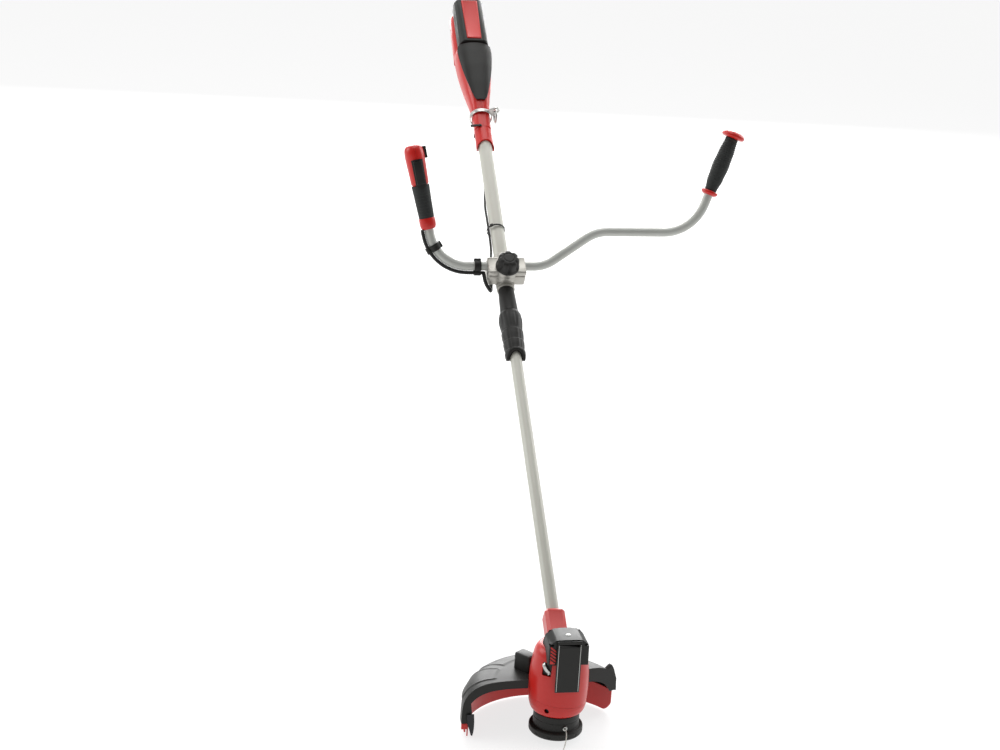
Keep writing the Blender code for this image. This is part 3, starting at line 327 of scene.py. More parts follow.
def rod(radius, length, sides=40, bevel=0.0):
    """A round bar along Z, centred."""
    half = length / 2
    profile = [(0, half), (radius, half), (radius, -half), (0, -half)]
    return turned(softened(profile, bevel) if bevel else profile, sides)


def as_shape(made):
    """What Blender evaluates an object to, as a shape; the object goes."""
    bpy.context.scene.collection.objects.link(made)
    graph = bpy.context.evaluated_depsgraph_get()
    shape = bmesh.new()
    shape.from_mesh(bpy.data.meshes.new_from_object(made.evaluated_get(graph)))
    bpy.data.objects.remove(made)
    return shape


def as_object(shape):
    mesh = bpy.data.meshes.new("work")
    shape.to_mesh(mesh)
    shape.free()
    return bpy.data.objects.new("work", mesh)


def combined(shape, tool, operation="DIFFERENCE"):
    made, cutter = as_object(shape), as_object(tool)
    bpy.context.scene.collection.objects.link(cutter)
    step = made.modifiers.new("Combine", "BOOLEAN")
    step.operation, step.solver, step.object = operation, "EXACT", cutter
    result = as_shape(made)
    bpy.data.objects.remove(cutter)
    return result


# Shot blasting leaves a fine even bite, so the metal reads as a bright satin grey.
cast = new_material("shot_blasted_cast_aluminium", "#B7B5AE", 0.42, 0.7)
grained(cast, 1.1, 0.09, 0.34, 0.5, "#A3A19A", 0.6)

rings = [
    (0, 792), (16.6, 792), (16.6, 724), (17.8, 722), (17.8, 717.5), (16.6, 716), (16.6, 713.8),
    (17.3, 713.2), (17.3, 709.6), (16.4, 709), (0, 709),
]
shape = combined(turned(softened(rings, 0.6)), block((74, 26, 40), (0, -13, 742), 4, 4), "UNION")
shape = combined(shape, moved(rod(21.5, 30, 64, 2), placed(0, -11, 737, pi / 2, "X")), "UNION")
shape = combined(shape, moved(rod(14.3, 120, 64), placed(0, 0, 750)))
shape = combined(shape, block((90, 20, 60), (0, -36.0, 742)))
shape = combined(shape, moved(rod(9.3, 120, 48), placed(0, -26, 749, pi / 2, "Y")))
shape = combined(shape, moved(rod(3.4, 60, 24), placed(0, -46.3, 735.5, pi / 2, "X")))
add(shape, "clamp_saddle", shaft, cast, "upper_shaft", ["clamp_base"], bevel=0.4)

shape = moved(rod(22.5, 12.2, 64, 2), placed(0, -32.4, 737, pi / 2, "X"))
shape = combined(block((74, 12.2, 40), (0, -32.4, 742), 3.5, 4), shape, "UNION")
for side in (-1, 1):
    shape = combined(shape, block((20, 3, 26), (side * 26, -39.2, 746), 1.4, 2))
shape = combined(shape, moved(rod(9.3, 120, 48), placed(0, -26, 749, pi / 2, "Y")))
shape = combined(shape, moved(rod(3.4, 60, 24), placed(0, -46.3, 735.5, pi / 2, "X")))
add(shape, "clamp_cap_cast", shaft, cast, "upper_shaft", ["clamp_cap"], bevel=0.4)

knob = [
    (0, 28), (9, 28), (9.6, 27.2), (11.2, 27.2), (11.8, 28), (16.5, 27.4), (19.6, 24.4), (20.6, 19),
    (21.2, 8), (22.8, 5.4), (22.8, 0.6), (22, 0), (3, 0), (3, -21), (0, -21),
]
shape = turned(softened(knob, 1.4), 112)
for vert in shape.verts:
    radius, angle = vert.co.xy.length, vert.co.to_2d().angle_signed(Vector((0, -1)), 0)
    if radius > 12 and vert.co.z > 4:
        deep = min(1, (vert.co.z - 4) / 5) * min(1, (radius - 12) / 5)
        vert.co.xy *= 1 - deep * 0.17 * max(0, cos(7 * angle)) ** 1.4
knob_place = Matrix.Translation(joint["knob_turn"]["pos_m"]) @ Matrix.Rotation(SHAFT_ANGLE, 4, "X")
add(shape, "clamp_knob_lobed", knob_place, black_nylon, "bar_knob", ["clamp_knob"])


# Handlebar: one steel tube of 18 mm, bent four times and painted a cooler grey than the shaft. Its frame
# lies in the plane of the bends, which leans back from upright.

bar = Matrix.Translation(joint["bar_tilt"]["pos_m"]) @ Matrix.Rotation(radians(-12), 4, "X")


def tube(points, radius, sides=5, shares=None):
    """A round tube through the points, with closed ends."""
    curve = bpy.data.curves.new("tube", "CURVE")
    curve.dimensions, curve.bevel_depth, curve.bevel_resolution = "3D", radius, sides
    curve.use_fill_caps = True
    spline = curve.splines.new("POLY")
    spline.points.add(len(points) - 1)
    for i, (spot, point) in enumerate(zip(spline.points, points)):
        spot.co, spot.radius = (*point, 1), shares[i] if shares else 1
    shape = as_shape(bpy.data.objects.new("tube", curve))
    bmesh.ops.remove_doubles(shape, verts=shape.verts, dist=0.003)
    return shape


# Sprayed satin paint shows long soft highlights along the tube.
bar_paint = new_material("grey_satin_paint", "#BFC1BC", 0.38, 0.1, Coat_Weight=0.25, Coat_Roughness=0.25)
grained(bar_paint, 1.6, 0.02, 0.3, 0.46, "#B1B3AC", 0.6)


def filleted(corners, radii, count=14):
    path = [Vector(corners[0])]
    for i, radius in enumerate(radii, start=1):
        here = Vector(corners[i])
        before = (Vector(corners[i - 1]) - here).normalized()
        after = (Vector(corners[i + 1]) - here).normalized()
        half = before.angle(after) / 2
        centre = here + (before + after).normalized() * (radius / sin(half))
        first = here + before * (radius / tan(half)) - centre
        last = here + after * (radius / tan(half)) - centre
        sweep = first.angle_signed(last)
        path += [centre + Matrix.Rotation(-sweep * k / (count - 1), 2) @ first for k in range(count)]
    return path + [Vector(corners[-1])]


LEAN, GRIP_LEAN = radians(12), radians(21.8)
left_corner = -150 + 70 * tan(LEAN)
right_corner = 398 - (141 - 67.5) * tan(GRIP_LEAN)
corners = [
    (-150 - 68 * sin(LEAN), 70 + 68 * cos(LEAN)),
    (left_corner, 0),
    (76, 0),
    (176, 67.5),
    (right_corner, 67.5),
    (398 + 112 * sin(GRIP_LEAN), 141 + 112 * cos(GRIP_LEAN)),
]
path = [(x, 0, z) for x, z in filleted(corners, [75, 70, 75, 88])]
add(tube(path, 9, 14), "handlebar_bent_tube", bar, bar_paint, "handlebar", ["handlebar_tube"])


# Plain grip: soft rubber moulded in fine rings and pushed over the tube's end, between a red flange and a
# red disc cap of glossy ABS.

grip = bar @ Matrix.Translation((0.398, 0, 0.141)) @ Matrix.Rotation(radians(21.8), 4, "Y")
# Thermoplastic rubber spreads the light, so it reads as a flat charcoal.
soft_rubber = new_material("soft_touch_rubber", "#272928", 0.7, Specular_IOR_Level=0.3, Sheen_Weight=0.1,
    Sheen_Roughness=0.5)
grained(soft_rubber, 0.8, 0.12, 0.6, 0.8, "#323534", 0.7)
# Moulded ABS is a strong red with a thin polished skin and sharp, small highlights.
red_abs = new_material("red_abs_gloss", "#CC2019", 0.32, Specular_IOR_Level=0.4, Coat_Weight=0.12,
    Coat_Roughness=0.12)
grained(red_abs, 2.2, 0.02, 0.26, 0.4, "#BC1B15", 0.6)


def grip_radius(z):
    """Barrel shape of the plain grip."""
    stations = [(9, 11.8), (35, 15.4), (60, 16.8), (85, 15.6), (118, 12.6)]
    for (a, ra), (b, rb) in zip(stations, stations[1:]):
        if z <= b:
            s = (z - a) / (b - a)
            return ra + (rb - ra) * (0.5 - 0.5 * cos(pi * s))
    return stations[-1][1]


profile = [(4, 118), (12, 118)]
ring_at = 114.0
while ring_at > 14:
    radius = grip_radius(ring_at)
    profile += [(radius, ring_at + 1.6), (radius, ring_at - 0.5), (radius - 0.7, ring_at - 0.9),
        (radius - 0.7, ring_at - 1.7)]
    ring_at -= 4.0
profile += [(11.8, 10), (11.2, 9), (9.3, 9), (9.3, 113), (4, 113), (4, 118)]
add(turned(softened(profile, 0.35, 2), 80), "plain_grip_ringed", grip, soft_rubber, "handlebar",
    ["plain_grip"])
flange = [(12.5, 8.7), (15.4, 8.4), (16.4, 7.2), (16.4, 3.7), (15, 2.2), (12, 0), (9.3, 0), (9.3, 8.7),
    (12.5, 8.7)]
add(turned(softened(flange, 0.8)), "grip_flange_moulded", grip, red_abs, "handlebar",
    ["grip_flange"])
disc = [
    (0, 133), (10, 132.4), (16.5, 130.6), (20.6, 128.2), (22.7, 125.4), (23, 122.6), (22.2, 120.6),
    (19.5, 119), (14, 118.3), (0, 118.3),
]
add(turned(softened(disc, 1.6)), "grip_end_disc", grip, red_abs, "handlebar", ["grip_end_cap"])


# Trigger handle: two red shells meeting in the middle plane, a soft grip with a ribbed pale edge at its
# top, a red collar, a long black trigger with fine upright ribs, and a thumb button on the inner side.

handle = bar @ Matrix.Translation((-0.150, 0, 0.070)) @ Matrix.Rotation(radians(-12), 4, "Y")


def surface(across, stations, where):
    """A grid laid on a surface: where() gives the point for a share across and a station along."""
    shape = bmesh.new()
    rows = len(stations) - 1
    bmesh.ops.create_grid(shape, x_segments=across, y_segments=rows, size=0.5)
    for vert in shape.verts:
        vert.co = where(vert.co.x + 0.5, stations[round((vert.co.y + 0.5) * rows)])
    bmesh.ops.remove_doubles(shape, verts=shape.verts, dist=0.003)
    bmesh.ops.recalc_face_normals(shape, faces=shape.faces)
    middle = sum((vert.co for vert in shape.verts), Vector()) / len(shape.verts)
    if sum((f.calc_center_median() - middle).dot(f.normal) * f.calc_area() for f in shape.faces) < 0:
        bmesh.ops.reverse_faces(shape, faces=shape.faces)
    return shape


def thickened(shape, thickness, offset):
    made = as_object(shape)
    step = made.modifiers.new("Wall", "SOLIDIFY")
    step.thickness, step.offset, step.use_even_offset = thickness, offset, True
    return as_shape(made)


def prism(outline, low, high, bevel=0.0, segments=2):
    """A flat outline extruded along Z."""
    shape = bmesh.new()
    face = shape.faces.new([shape.verts.new((x, y, low)) for x, y in outline])
    side = bmesh.ops.extrude_face_region(shape, geom=[face])["geom"]
    top = [made for made in side if isinstance(made, bmesh.types.BMVert)]
    bmesh.ops.translate(shape, verts=top, vec=(0, 0, high - low))
    bmesh.ops.recalc_face_normals(shape, faces=shape.faces)
    return rounded(shape, bevel, segments) if bevel else shape


def joined(*shapes):
    """Several shapes that stay separate bodies of one piece."""
    whole = bmesh.new()
    for shape in shapes:
        mesh = bpy.data.meshes.new("work")
        shape.to_mesh(mesh)
        shape.free()
        whole.from_mesh(mesh)
    return whole


# Half the gap between two shells, so that their seam shows as a fine dark line.
HALF_SEAM = 0.12
SHELL_DEPTH = 1.15
shell_rows = [
    (0.1, 163), (5, 162.9), (8.8, 162.3), (12, 161.2), (14.6, 159.4), (16.7, 156.3), (18, 152),
    (18.7, 147), (18.9, 142), (18.8, 135), (18.4, 126), (17.9, 115), (17.5, 104), (17.2, 96), (17, 88),
    (15.6, 85.8), (13.9, 84.5), (12.4, 60), (12, 30), (12, 2),
]


def shell_half(side):
    def where(across, row):
        radius, height = row
        angle = -pi / 2 + across * pi
        deep = 1 + (SHELL_DEPTH - 1) * min(1, max(0, (height - 85) / 20))
        wide = max(radius * cos(angle), 0) + HALF_SEAM
        return Vector((side * wide, radius * deep * sin(angle), height))

    return thickened(surface(28, shell_rows, where), 2.1, -1)


for side, name in ((-1, "left"), (1, "right")):
    shape = shell_half(side)
    shape = combined(shape, block((16.6, 30, 58), (0, -22, 106), 3, 3))
    if side > 0:
        shape = combined(shape, block((24, 11, 25), (20, 0, 145), 2, 3))
        shape = combined(shape, moved(rod(2.9, 6, 24), placed(20.5, 6, 118, pi / 2, "Y")))
    add(shape, "handle_shell_moulded_" + name, handle, red_abs, "handlebar",
        ["handle_shell_" + name], bevel=0.5)

# The black frame round the trigger ends in a V that laps over the grip.


def frame_point(across, row):
    radius, height, dip = row
    angle = (across - 0.5) * radians(68)
    deep = radius * (1 + 0.15 * min(1, max(0, (height - 85) / 20)))
    return Vector((radius * sin(angle), -deep * cos(angle), height - dip * (1 - abs(2 * across - 1))))


frame_rows = [
    (18.9, 134, 0), (18.6, 126, 0), (18.1, 115, 0), (17.7, 104, 0), (17.5, 95, 0), (17.5, 87, 2),
    (17.5, 83, 6),
]
frame_panel = thickened(surface(24, frame_rows, frame_point), 1.1, 1)
frame_panel = combined(frame_panel, block((15.9, 40, 46), (0, -22, 109.6), 3, 3))
add(frame_panel, "trigger_frame_moulded", handle, black_nylon, "handlebar", bevel=0.3)

soft = [
    (17.2, 84.2), (17, 78), (16.2, 62), (15.4, 42), (14.9, 24), (14.6, 21.6), (12.5, 21.5), (12.5, 31),
    (13, 61), (14.6, 84.2), (17.2, 84.2),
]
shape = turned(softened(soft, 0.6), 72)
around = [2 * pi * k / 60 for k in range(61)]
ribs = [tube([(r * cos(a), r * sin(a), z) for a in around], 0.55, 2)
        for r, z in ((14.95, 30), (15.15, 36), (15.4, 42), (15.6, 48), (15.85, 54), (16.1, 60), (16.35, 66))]
add(joined(shape, *ribs), "soft_grip_moulded", handle, soft_rubber, "handlebar", ["soft_grip"])

collar = [
    (15, 21.4), (15.5, 19), (15.7, 12), (15.2, 6), (14, 2), (11.8, 0), (9.3, 0), (9.3, 1.6), (12.5, 1.6),
    (12.5, 21.4), (15, 21.4),
]
add(turned(softened(collar, 1.0)), "handle_collar_moulded", handle, red_abs, "handlebar",
    ["handle_collar"])

lever = [
    (-17, 133), (-21.5, 131.5), (-22.5, 130), (-23.8, 124), (-24, 118), (-23.6, 110), (-23, 103),
    (-22.2, 96), (-22, 88), (-19.5, 86.5), (-17.5, 88), (-15.2, 103), (-13, 118), (-9, 128), (-10, 134),
]
shape = prism(lever, -7.8, 7.8, 1.2, 3)
for k in range(6):
    cutter = block((1.4, 44, 1.1), (-24.6, 109, -5.6 + 2.24 * k), 0.3, 2)
    shape = combined(shape, cutter)
shape.transform(Matrix.Rotation(pi / 2, 4, "Z") @ Matrix.Rotation(pi / 2, 4, "X"))
add(shape, "trigger_ribbed", handle, black_nylon, "trigger_lever", ["trigger"], bevel=0.2)

button = block((16, 9.6, 23), (0, 0, 0), 1.6, 4)
for k in range(5):
    button = combined(button, block((2, 12, 0.9), (8.3, 0, -6 + 3 * k), 0.3, 2))
add(moved(button, placed(16, 0, 145)), "lock_off_thumb_button", handle, black_nylon, "lock_off",
    ["lock_off_button"])


# Control cable: a black corrugated sleeve along the bar and under the clamp; from there only the thin
# PVC-sheathed lead goes on up the tube, behind the tie, into the gland.

# Extruded PVC is a smooth black with a low, wet-looking sheen.
pvc = new_material("black_pvc_sheath", "#1E1E1D", 0.42, Specular_IOR_Level=0.35)
grained(pvc, 1.5, 0.03, 0.36, 0.55, "#272726", 0.6)

CABLE_OFF, CABLE_FRONT, SPLIT_X = 12.9, -1.5, -47.5
bend_turn = pi / 2 - LEAN
bend_at = Vector((left_corner + 75 * tan(bend_turn / 2), 75))
bend = [
    bend_at + Vector((cos(a), sin(a))) * (75 + CABLE_OFF)
    for a in [-pi / 2 - bend_turn * (1 - k / 8) for k in range(9)]
]
cable_start = bend[0] + Vector((-sin(LEAN), cos(LEAN))) * 11.5
flat_run = [cable_start, *bend, (-62, -CABLE_OFF), (SPLIT_X, -CABLE_OFF)]
bar_route = route([(x, CABLE_FRONT, z) for x, z in flat_run], 1.1)
shares = [1 if i % 3 else 0.84 for i in range(len(bar_route))]
add(tube(bar_route, 3.8, 6, shares), "bar_cable_corrugated", bar, pvc, "handlebar",
    ["bar_cable"], sharp=60)

SHAFT_CABLE = [
    (-42, -15.5, 728.5), (-41.2, -13.8, 721.5), (-39, -11, 715), (-35.5, -6.5, 711.8), (-31.5, -0.5, 711),
    (-28.8, 5.5, 713.5), (-27, 9.5, 721), (-25, 10.8, 735), (-22.5, 9, 755), (-20.8, 6.5, 772),
    (-19.3, 4, 795), (-17.2, 1.5, 820), (-16.9, 0.8, 863), (-16.9, 1.5, 892), (-16.2, 6.2, 925),
    (-13.2, 11.8, 955), (-9.8, 15.2, 985), (-7.6, 16.8, 1012), (-6.6, 19, 1040), (-6.4, 21.4, 1064),
    (-6.3, 22.8, 1090), (-6.2, 23.2, 1118), (-6.2, 23.2, 1137),
]
split_at = shaft.inverted() @ bar @ (Vector((SPLIT_X + 0.1, CABLE_FRONT, -CABLE_OFF)) * MM) / MM
near_split = split_at + Vector((4, 0, 0))
shaft_route = [split_at, *route([near_split, *SHAFT_CABLE], 1.1)]
shares = []
for i, p in enumerate(shaft_route):
    thin = min(1, max(0, (p.z - 765) / 10))
    shares.append(0.6 if thin == 1 else (1 if i % 3 else 0.84) * (1 - thin) + 0.6 * thin)
made = add(tube(shaft_route, 3.8, 6, shares), "shaft_cable_sleeved", shaft, pvc, None,
           ["shaft_cable"], sharp=60)
# The loop turns across the tube's width, so that the lead's long upper run stays with the shaft.
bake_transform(made)


# Cable clips: moulded black nylon collars that snap over the bar, with two raised bands and a smaller eye
# that holds the cable below it. One sits in the bend and one beside the clamp.


def clip_shape():
    small = moved(rod(5.8, 13, 32, 0.9), placed(CABLE_OFF, CABLE_FRONT))
    whole = combined(rod(11.9, 13, 56, 0.9), small, "UNION")
    for height in (-1, 1):
        whole = combined(whole, moved(rod(12.5, 3.4, 56, 0.6), placed(0, 0, height * 4.2)), "UNION")
    whole = combined(whole, block((6, 9, 13), (-11.5, 0, 0), 1), "UNION")
    whole = combined(whole, rod(9.25, 30, 56))
    return combined(whole, moved(rod(3.85, 30, 32), placed(CABLE_OFF, CABLE_FRONT)))


clip_lean = radians(58)
clip_spot = (bend_at.x - 75 * sin(clip_lean), 0, 75 - 75 * cos(clip_lean))
for name, place in (
    ("upper", placed(*clip_spot, pi / 2 + clip_lean, "Y")),
    ("lower", placed(-55, 0, 0, pi / 2, "Y")),
):
    add(moved(clip_shape(), place), "cable_clip_moulded_" + name, bar, black_nylon, "handlebar",
        ["cable_clip_" + name], bevel=0.3)


# Cable tie: a ratchet strap of black nylon pulled round the tube and the lead, its square lock at the back
# of the left side.

lock_at = radians(-125)
lock = moved(block((3.6, 6.2, 5.6), bevel=0.6), placed(18.6 * cos(lock_at), 18.6 * sin(lock_at), 0, lock_at))
tie_spot = placed(-2.7, 0, 863)
add(moved(joined(pipe(18.4, 1.2, -2, 2), lock), tie_spot), "cable_tie_strap", shaft, black_nylon,
    "upper_shaft", ["cable_tie"], bevel=0.2)


# Neck of the rear unit: a red collar with an arched mouth on the tube, and the oval rubber gland beside it
# where the lead goes in.

collar = [
    (17.2, 1130), (17.4, 1128), (17.6, 1112), (18.4, 1080), (18, 1076), (14.1, 1076), (14.1, 1130),
    (17.2, 1130),
]
shape = turned(softened(collar, 1.0), 96)
shape = combined(shape, moved(rod(19, 60, 72), placed(0, 0, 1074, pi / 2, "X")))
add(shape, "neck_collar_arched", shaft, red_abs, "upper_shaft", ["neck_collar"], bevel=0.6)

stud = moved(block((23, 3, 5.5), bevel=1.2, segments=4), placed(-16, -17.6, 1130.5, radians(-8), "Y"))
add(stud, "neck_strap_stud", shaft, black_nylon, "upper_shaft")

gland = [(6.2, 6), (7.6, 5.6), (8.5, 4), (8.5, 0), (5.0, -4), (2.4, -4), (2.4, 6), (6.2, 6)]
shape = moved(turned(softened(gland, 0.7), 48), placed(-6.2, 23.2, 1139))
add(shape, "cable_gland_moulded", shaft, soft_rubber, "upper_shaft", ["cable_gland"])


# Harness point: a zinc-plated steel band pressed round the neck, with a pierced ear, and a round wire
# ring that swings in it for the shoulder strap's hook.

# Bright zinc keeps mirror-like glints that a fine brushing breaks up.
steel = new_material("zinc_plated_steel", "#BFC0BE", 0.3, 1.0)
grained(steel, 0.7, 0.02, 0.24, 0.4, "#AFAFA8", 0.5)

EYE_X, EYE_N, HARNESS_T, BAND_R = 28.0, 22.0, 1170.0, 21.6
ear_at = Vector((EYE_X, -EYE_N))
outward = ear_at.normalized()
beside = Vector((-outward.y, outward.x))
band = turned(softened([(23.4, 0), (23.4, 4), (21.6, 4), (21.6, -4), (23.4, -4), (23.4, 0)], 0.4), 96)
around = [-pi / 2 + pi * k / 20 for k in range(21)]
ear_root = outward * (BAND_R + 0.6)
ear_tip = [ear_at + 8 * (outward * cos(a) + beside * sin(a)) for a in around]
ear = prism([ear_root - beside * 10.4, *ear_tip, ear_root + beside * 10.4], -1.5, 1.5)
band = combined(band, ear, "UNION")
band = combined(band, moved(rod(4.2, 12), placed(EYE_X, -EYE_N)))
add(moved(band, placed(0, 0, HARNESS_T)), "harness_band_pressed", shaft, steel, "upper_shaft",
    ["harness_bracket"], bevel=0.4)

stand = Matrix.Rotation(pi / 2 - SHAFT_ANGLE, 3, "X")
eye_centre = Vector((EYE_X, -EYE_N, HARNESS_T))
hoop = [2 * pi * k / 64 for k in range(65)]
hoop = [eye_centre + stand @ Vector((0, 13 * cos(a), -13 + 13 * sin(a))) for a in hoop]
add(tube(hoop, 2.0, 6), "harness_ring_bent", shaft, steel, "harness_loop", ["harness_ring"])


# Rear unit: two mirrored halves of moulded red ABS, screwed together along the tube. They swell from the
# neck round the electronics and end in a low bed that the battery slides into.

BED_FROM, SQUARE = 1346.0, 2.7
neck_to_bed = [
    (1131, 17, -17, 17), (1165, 17.6, -18, 18), (1200, 20.5, -22, 24), (1240, 27, -29, 31),
    (1285, 33, -35, 37), (1325, 36, -38, 40), (1344, 36, -38, 40),
]


def eased(rows, every):
    """Rows of numbers, resampled smoothly along their first number."""
    made = []
    start = rows[0][0]
    while start < rows[-1][0]:
        i = max(k for k, row in enumerate(rows[:-1]) if row[0] <= start)
        a, b, c, d = (rows[min(max(k, 0), len(rows) - 1)] for k in (i - 1, i, i + 1, i + 2))
        s = (start - b[0]) / (c[0] - b[0])
        mix = [
            (2 * q + (r - p) * s + (2 * p - 5 * q + 4 * r - t) * s**2 + (3 * q - p - 3 * r + t) * s**3) / 2
            for p, q, r, t in zip(a, b, c, d)
        ]
        made.append((start, *mix[1:]))
        start += every
    return made + [rows[-1]]


housing_rows = [
    *eased(neck_to_bed, 6),
    (1345.6, 35.8, -38.0, 39.4),
    (1346.0, 35.5, -38.0, 8.0),
    (1420.0, 34.5, -37.0, 8.0),
    (1466.0, 33.0, -34.0, 8.0),
    (1471.5, 31.0, -31.0, 7.0),
    (1474.0, 28.0, -27.0, 5.0),
    (1474.01, 0.0, -27.0, 5.0),
]
for side, name in ((-1, "left"), (1, "right")):

    def housing_side(across, row):
        along, half, low, high = row
        a = -pi / 2 + across * pi
        rise = (high - low) / 2 * abs(sin(a)) ** (2 / SQUARE) * (1 if a > 0 else -1)
        wide = half * max(cos(a), 0) ** (2 / SQUARE) + HALF_SEAM
        return Vector((side * wide, -(low + high) / 2 - rise, along))

    shape = thickened(surface(44, housing_rows, housing_side), 2.4, -1)
    shape = combined(shape, block((26, 30, 16), (0, -8, BED_FROM + 4)))
    shape = combined(shape, moved(rod(9, 22), placed(-6.2, 23.2, 1140)))
    for off, under, along in ((25, 22, 1225), (34, 22, 1310), (34, 16, 1440)):
        bore = moved(rod(3.6, 10, 32), placed(side * off, under, along, pi / 2, "Y"))
        shape = combined(shape, bore)
    add(shape, "rear_housing_moulded_" + name, shaft, red_abs, "upper_shaft",
        ["rear_housing_" + name], sharp=34, bevel=0.5)


# Shield: a matt black cover on the upper side of the rear unit, moulded in nylon as a long tapering shape
# with a bevelled rim and laid over the seam of the two halves.

shield_outline = [(1197, 8), (1203, 12), (1215, 15.5), (1250, 23), (1285, 29), (1325, 33), (1338, 33),
    (1344, 31.5)]


def upper_side(x, along):
    """Height of the housing's upper surface."""
    i = max(k for k, row in enumerate(neck_to_bed[:-1]) if row[0] <= along)
    (a, *low_row), (b, *high_row) = neck_to_bed[i : i + 2]
    half, low, high = [p + (q - p) * (along - a) / (b - a) for p, q in zip(low_row, high_row)]
    share = min(1.0, abs(x) / half)
    return (low + high) / 2 + (high - low) / 2 * (1 - share**SQUARE) ** (1 / SQUARE)


shield_rows = eased(shield_outline, 5)


def shield_point(across, row):
    along, half = row
    x = (2 * across - 1) * half
    return Vector((x, -upper_side(x / 1.05, along) - 1.0, along))


shape = surface(40, shield_rows, shield_point)
if sum(face.normal.y for face in shape.faces) > 0:
    bmesh.ops.reverse_faces(shape, faces=shape.faces)
shape = thickened(shape, 3.2, 1)
add(shape, "shield_cover_moulded", shaft, black_nylon, "upper_shaft", ["shield_cover"],
    sharp=50, bevel=1.3)


# Battery pack: a black case that slides into the bed, a red panel let into its top with a raised edge,
# and a red latch button at its rear.

PACK_LOW, PACK_HIGH, PACK_FROM, PACK_TO = 9.5, 47.0, 1347.5, 1472.0
pack_long = PACK_TO - PACK_FROM
pack_side = [(-30, PACK_LOW), (30, PACK_LOW), (31, 28), (29.6, 36), (26, 42.5), (21.5, PACK_HIGH - 0.6),
    (19, PACK_HIGH)]
pack_side = pack_side + [(-x, n) for x, n in pack_side[:1:-1]]
case = prism([(x, -n) for x, n in pack_side], PACK_FROM, PACK_TO, 1.8, 4)
case = combined(case, block((26, 12, 34), (0, -12.5, PACK_FROM)))
recess = prism([(-15.2, 6), (15.2, 6), (17.2, pack_long - 6), (-17.2, pack_long - 6)], -2, 2)
recess = moved(recess, placed(0, -PACK_HIGH, PACK_FROM, pi / 2, "X"))
case = combined(case, recess)
case = combined(case, block((22.6, 12.6, 12), (0, -26, PACK_TO)))
for side in (-1, 1):
    for k in range(5):
        case = combined(case, block((3, 14, 2.2), (side * 31.6, -26, PACK_FROM + 62 + 7 * k), 0.6, 2))
add(case, "battery_case_moulded", shaft, black_nylon, "battery", ["battery_case"], bevel=0.4)

panel_outline = [(-14.9, 6.3), (14.9, 6.3), (16.9, pack_long - 6.3), (-16.9, pack_long - 6.3)]
sunk_outline = [(-12.4, 9.6), (12.4, 9.6), (14.2, pack_long - 9.6), (-14.2, pack_long - 9.6)]
panel = combined(prism(panel_outline, -1.3, 2.1, 1.0, 4), prism(sunk_outline, 1.7, 4, 0.3))
panel = moved(panel, placed(0, -(PACK_HIGH - 0.3), PACK_FROM, pi / 2, "X"))
add(panel, "battery_panel_glossy", shaft, red_abs, "battery", ["battery_panel"], bevel=0.3)
latch = block((22, 12, 5), (0, -26, PACK_TO - 1), 1.2, 4)
for k in range(4):
    latch = combined(latch, block((16, 1.0, 1.6), (0, -29 + 2 * k, PACK_TO + 1.9), 0.3, 2))
add(latch, "battery_latch_ribbed", shaft, red_abs, "latch", ["battery_latch"])


# Motor housing: a red drum with the square tube socket growing out of its back, diagonal air slots at its
# left, and the lower ring that closes it along a slightly tilted parting line.

in_head = Matrix.Translation((0, 91, 188)) @ Matrix.Rotation(SHAFT_ANGLE - pi / 2, 4, "X")
HOOD_X = 3.0
drum = [
    (0, 164), (30, 164), (35.2, 162.4), (39, 159.5), (42.2, 155.2), (44.5, 150), (46.8, 139), (48.5, 128),
    (50.4, 113), (51, 100), (51, 90), (50.6, 78), (49.8, 65.2), (49.2, 54), (0, 54),
]
cavity = [(0, 161.4), (28.8, 161.4), (36.4, 157.5), (41.9, 150), (45.9, 128), (48.4, 100), (48.4, 90),
    (46.6, 50), (0, 50)]


def hood_body(grow, wall):
    """The black hood over the motor's front: flat front and sides, and a raised flat on its top."""
    half = 34 + grow - wall
    low = 146 - grow - (4 if wall else 0)
    shoulder = [(34, 178), (33.4, 181.5), (31.5, 184), (25, 188), (22.6, 190.8), (20, 192), (10, 192.4)]
    outline = [(-half, low), (half, low)]
    outline += [(x + grow - wall, z + grow - wall) for x, z in shoulder]
    outline += [(-x, z) for x, z in outline[:1:-1]]
    deep = 46 + 2 * grow - 2 * wall
    body = prism([(x, -z) for x, z in outline], -deep / 2, deep / 2)
    return moved(body, Matrix.Rotation(-pi / 2, 4, "X"), placed(HOOD_X, -27, 0))


tilted = Matrix.Translation((0, 0, 65)) @ Matrix.Rotation(radians(5.6), 4, "Y")


def cut_at_parting(shape, upper, gap):
    """Keeps the part above or below the tilted parting plane."""
    slab = block((200, 200, 100), (0, 0, -50 - gap if upper else 50 + gap))
    return combined(shape, moved(slab, tilted))


socket = moved(block((35, 37, 72), (0, 0, -48), 5.5, 1), in_head)
shape = combined(turned(softened(drum, 2.0), 96), socket, "UNION")
shape = combined(shape, turned(cavity, 96))
shape = combined(shape, moved(rod(11.1, 70, 48), placed(0, 0, -25), in_head))
shape = combined(shape, hood_body(0.1, 0))
shape = cut_at_parting(shape, True, -0.15)
pocket_at = Matrix.Rotation(radians(-129), 4, "Z") @ Matrix.Translation((47, 0, 132))
shape = combined(shape, moved(block((9, 17, 23), bevel=2), pocket_at))
add(shape, "motor_housing_moulded", head, red_abs, "lower_shaft", ["motor_housing"], sharp=34,
    bevel=0.6)

# Black oxide leaves the steel dark grey with dull metal glints at its edges.
black_steel = new_material("black_oxide_steel", "#3A3A3C", 0.38, 0.9)
grained(black_steel, 0.7, 0.02, 0.3, 0.48, "#2E2E30", 0.6)


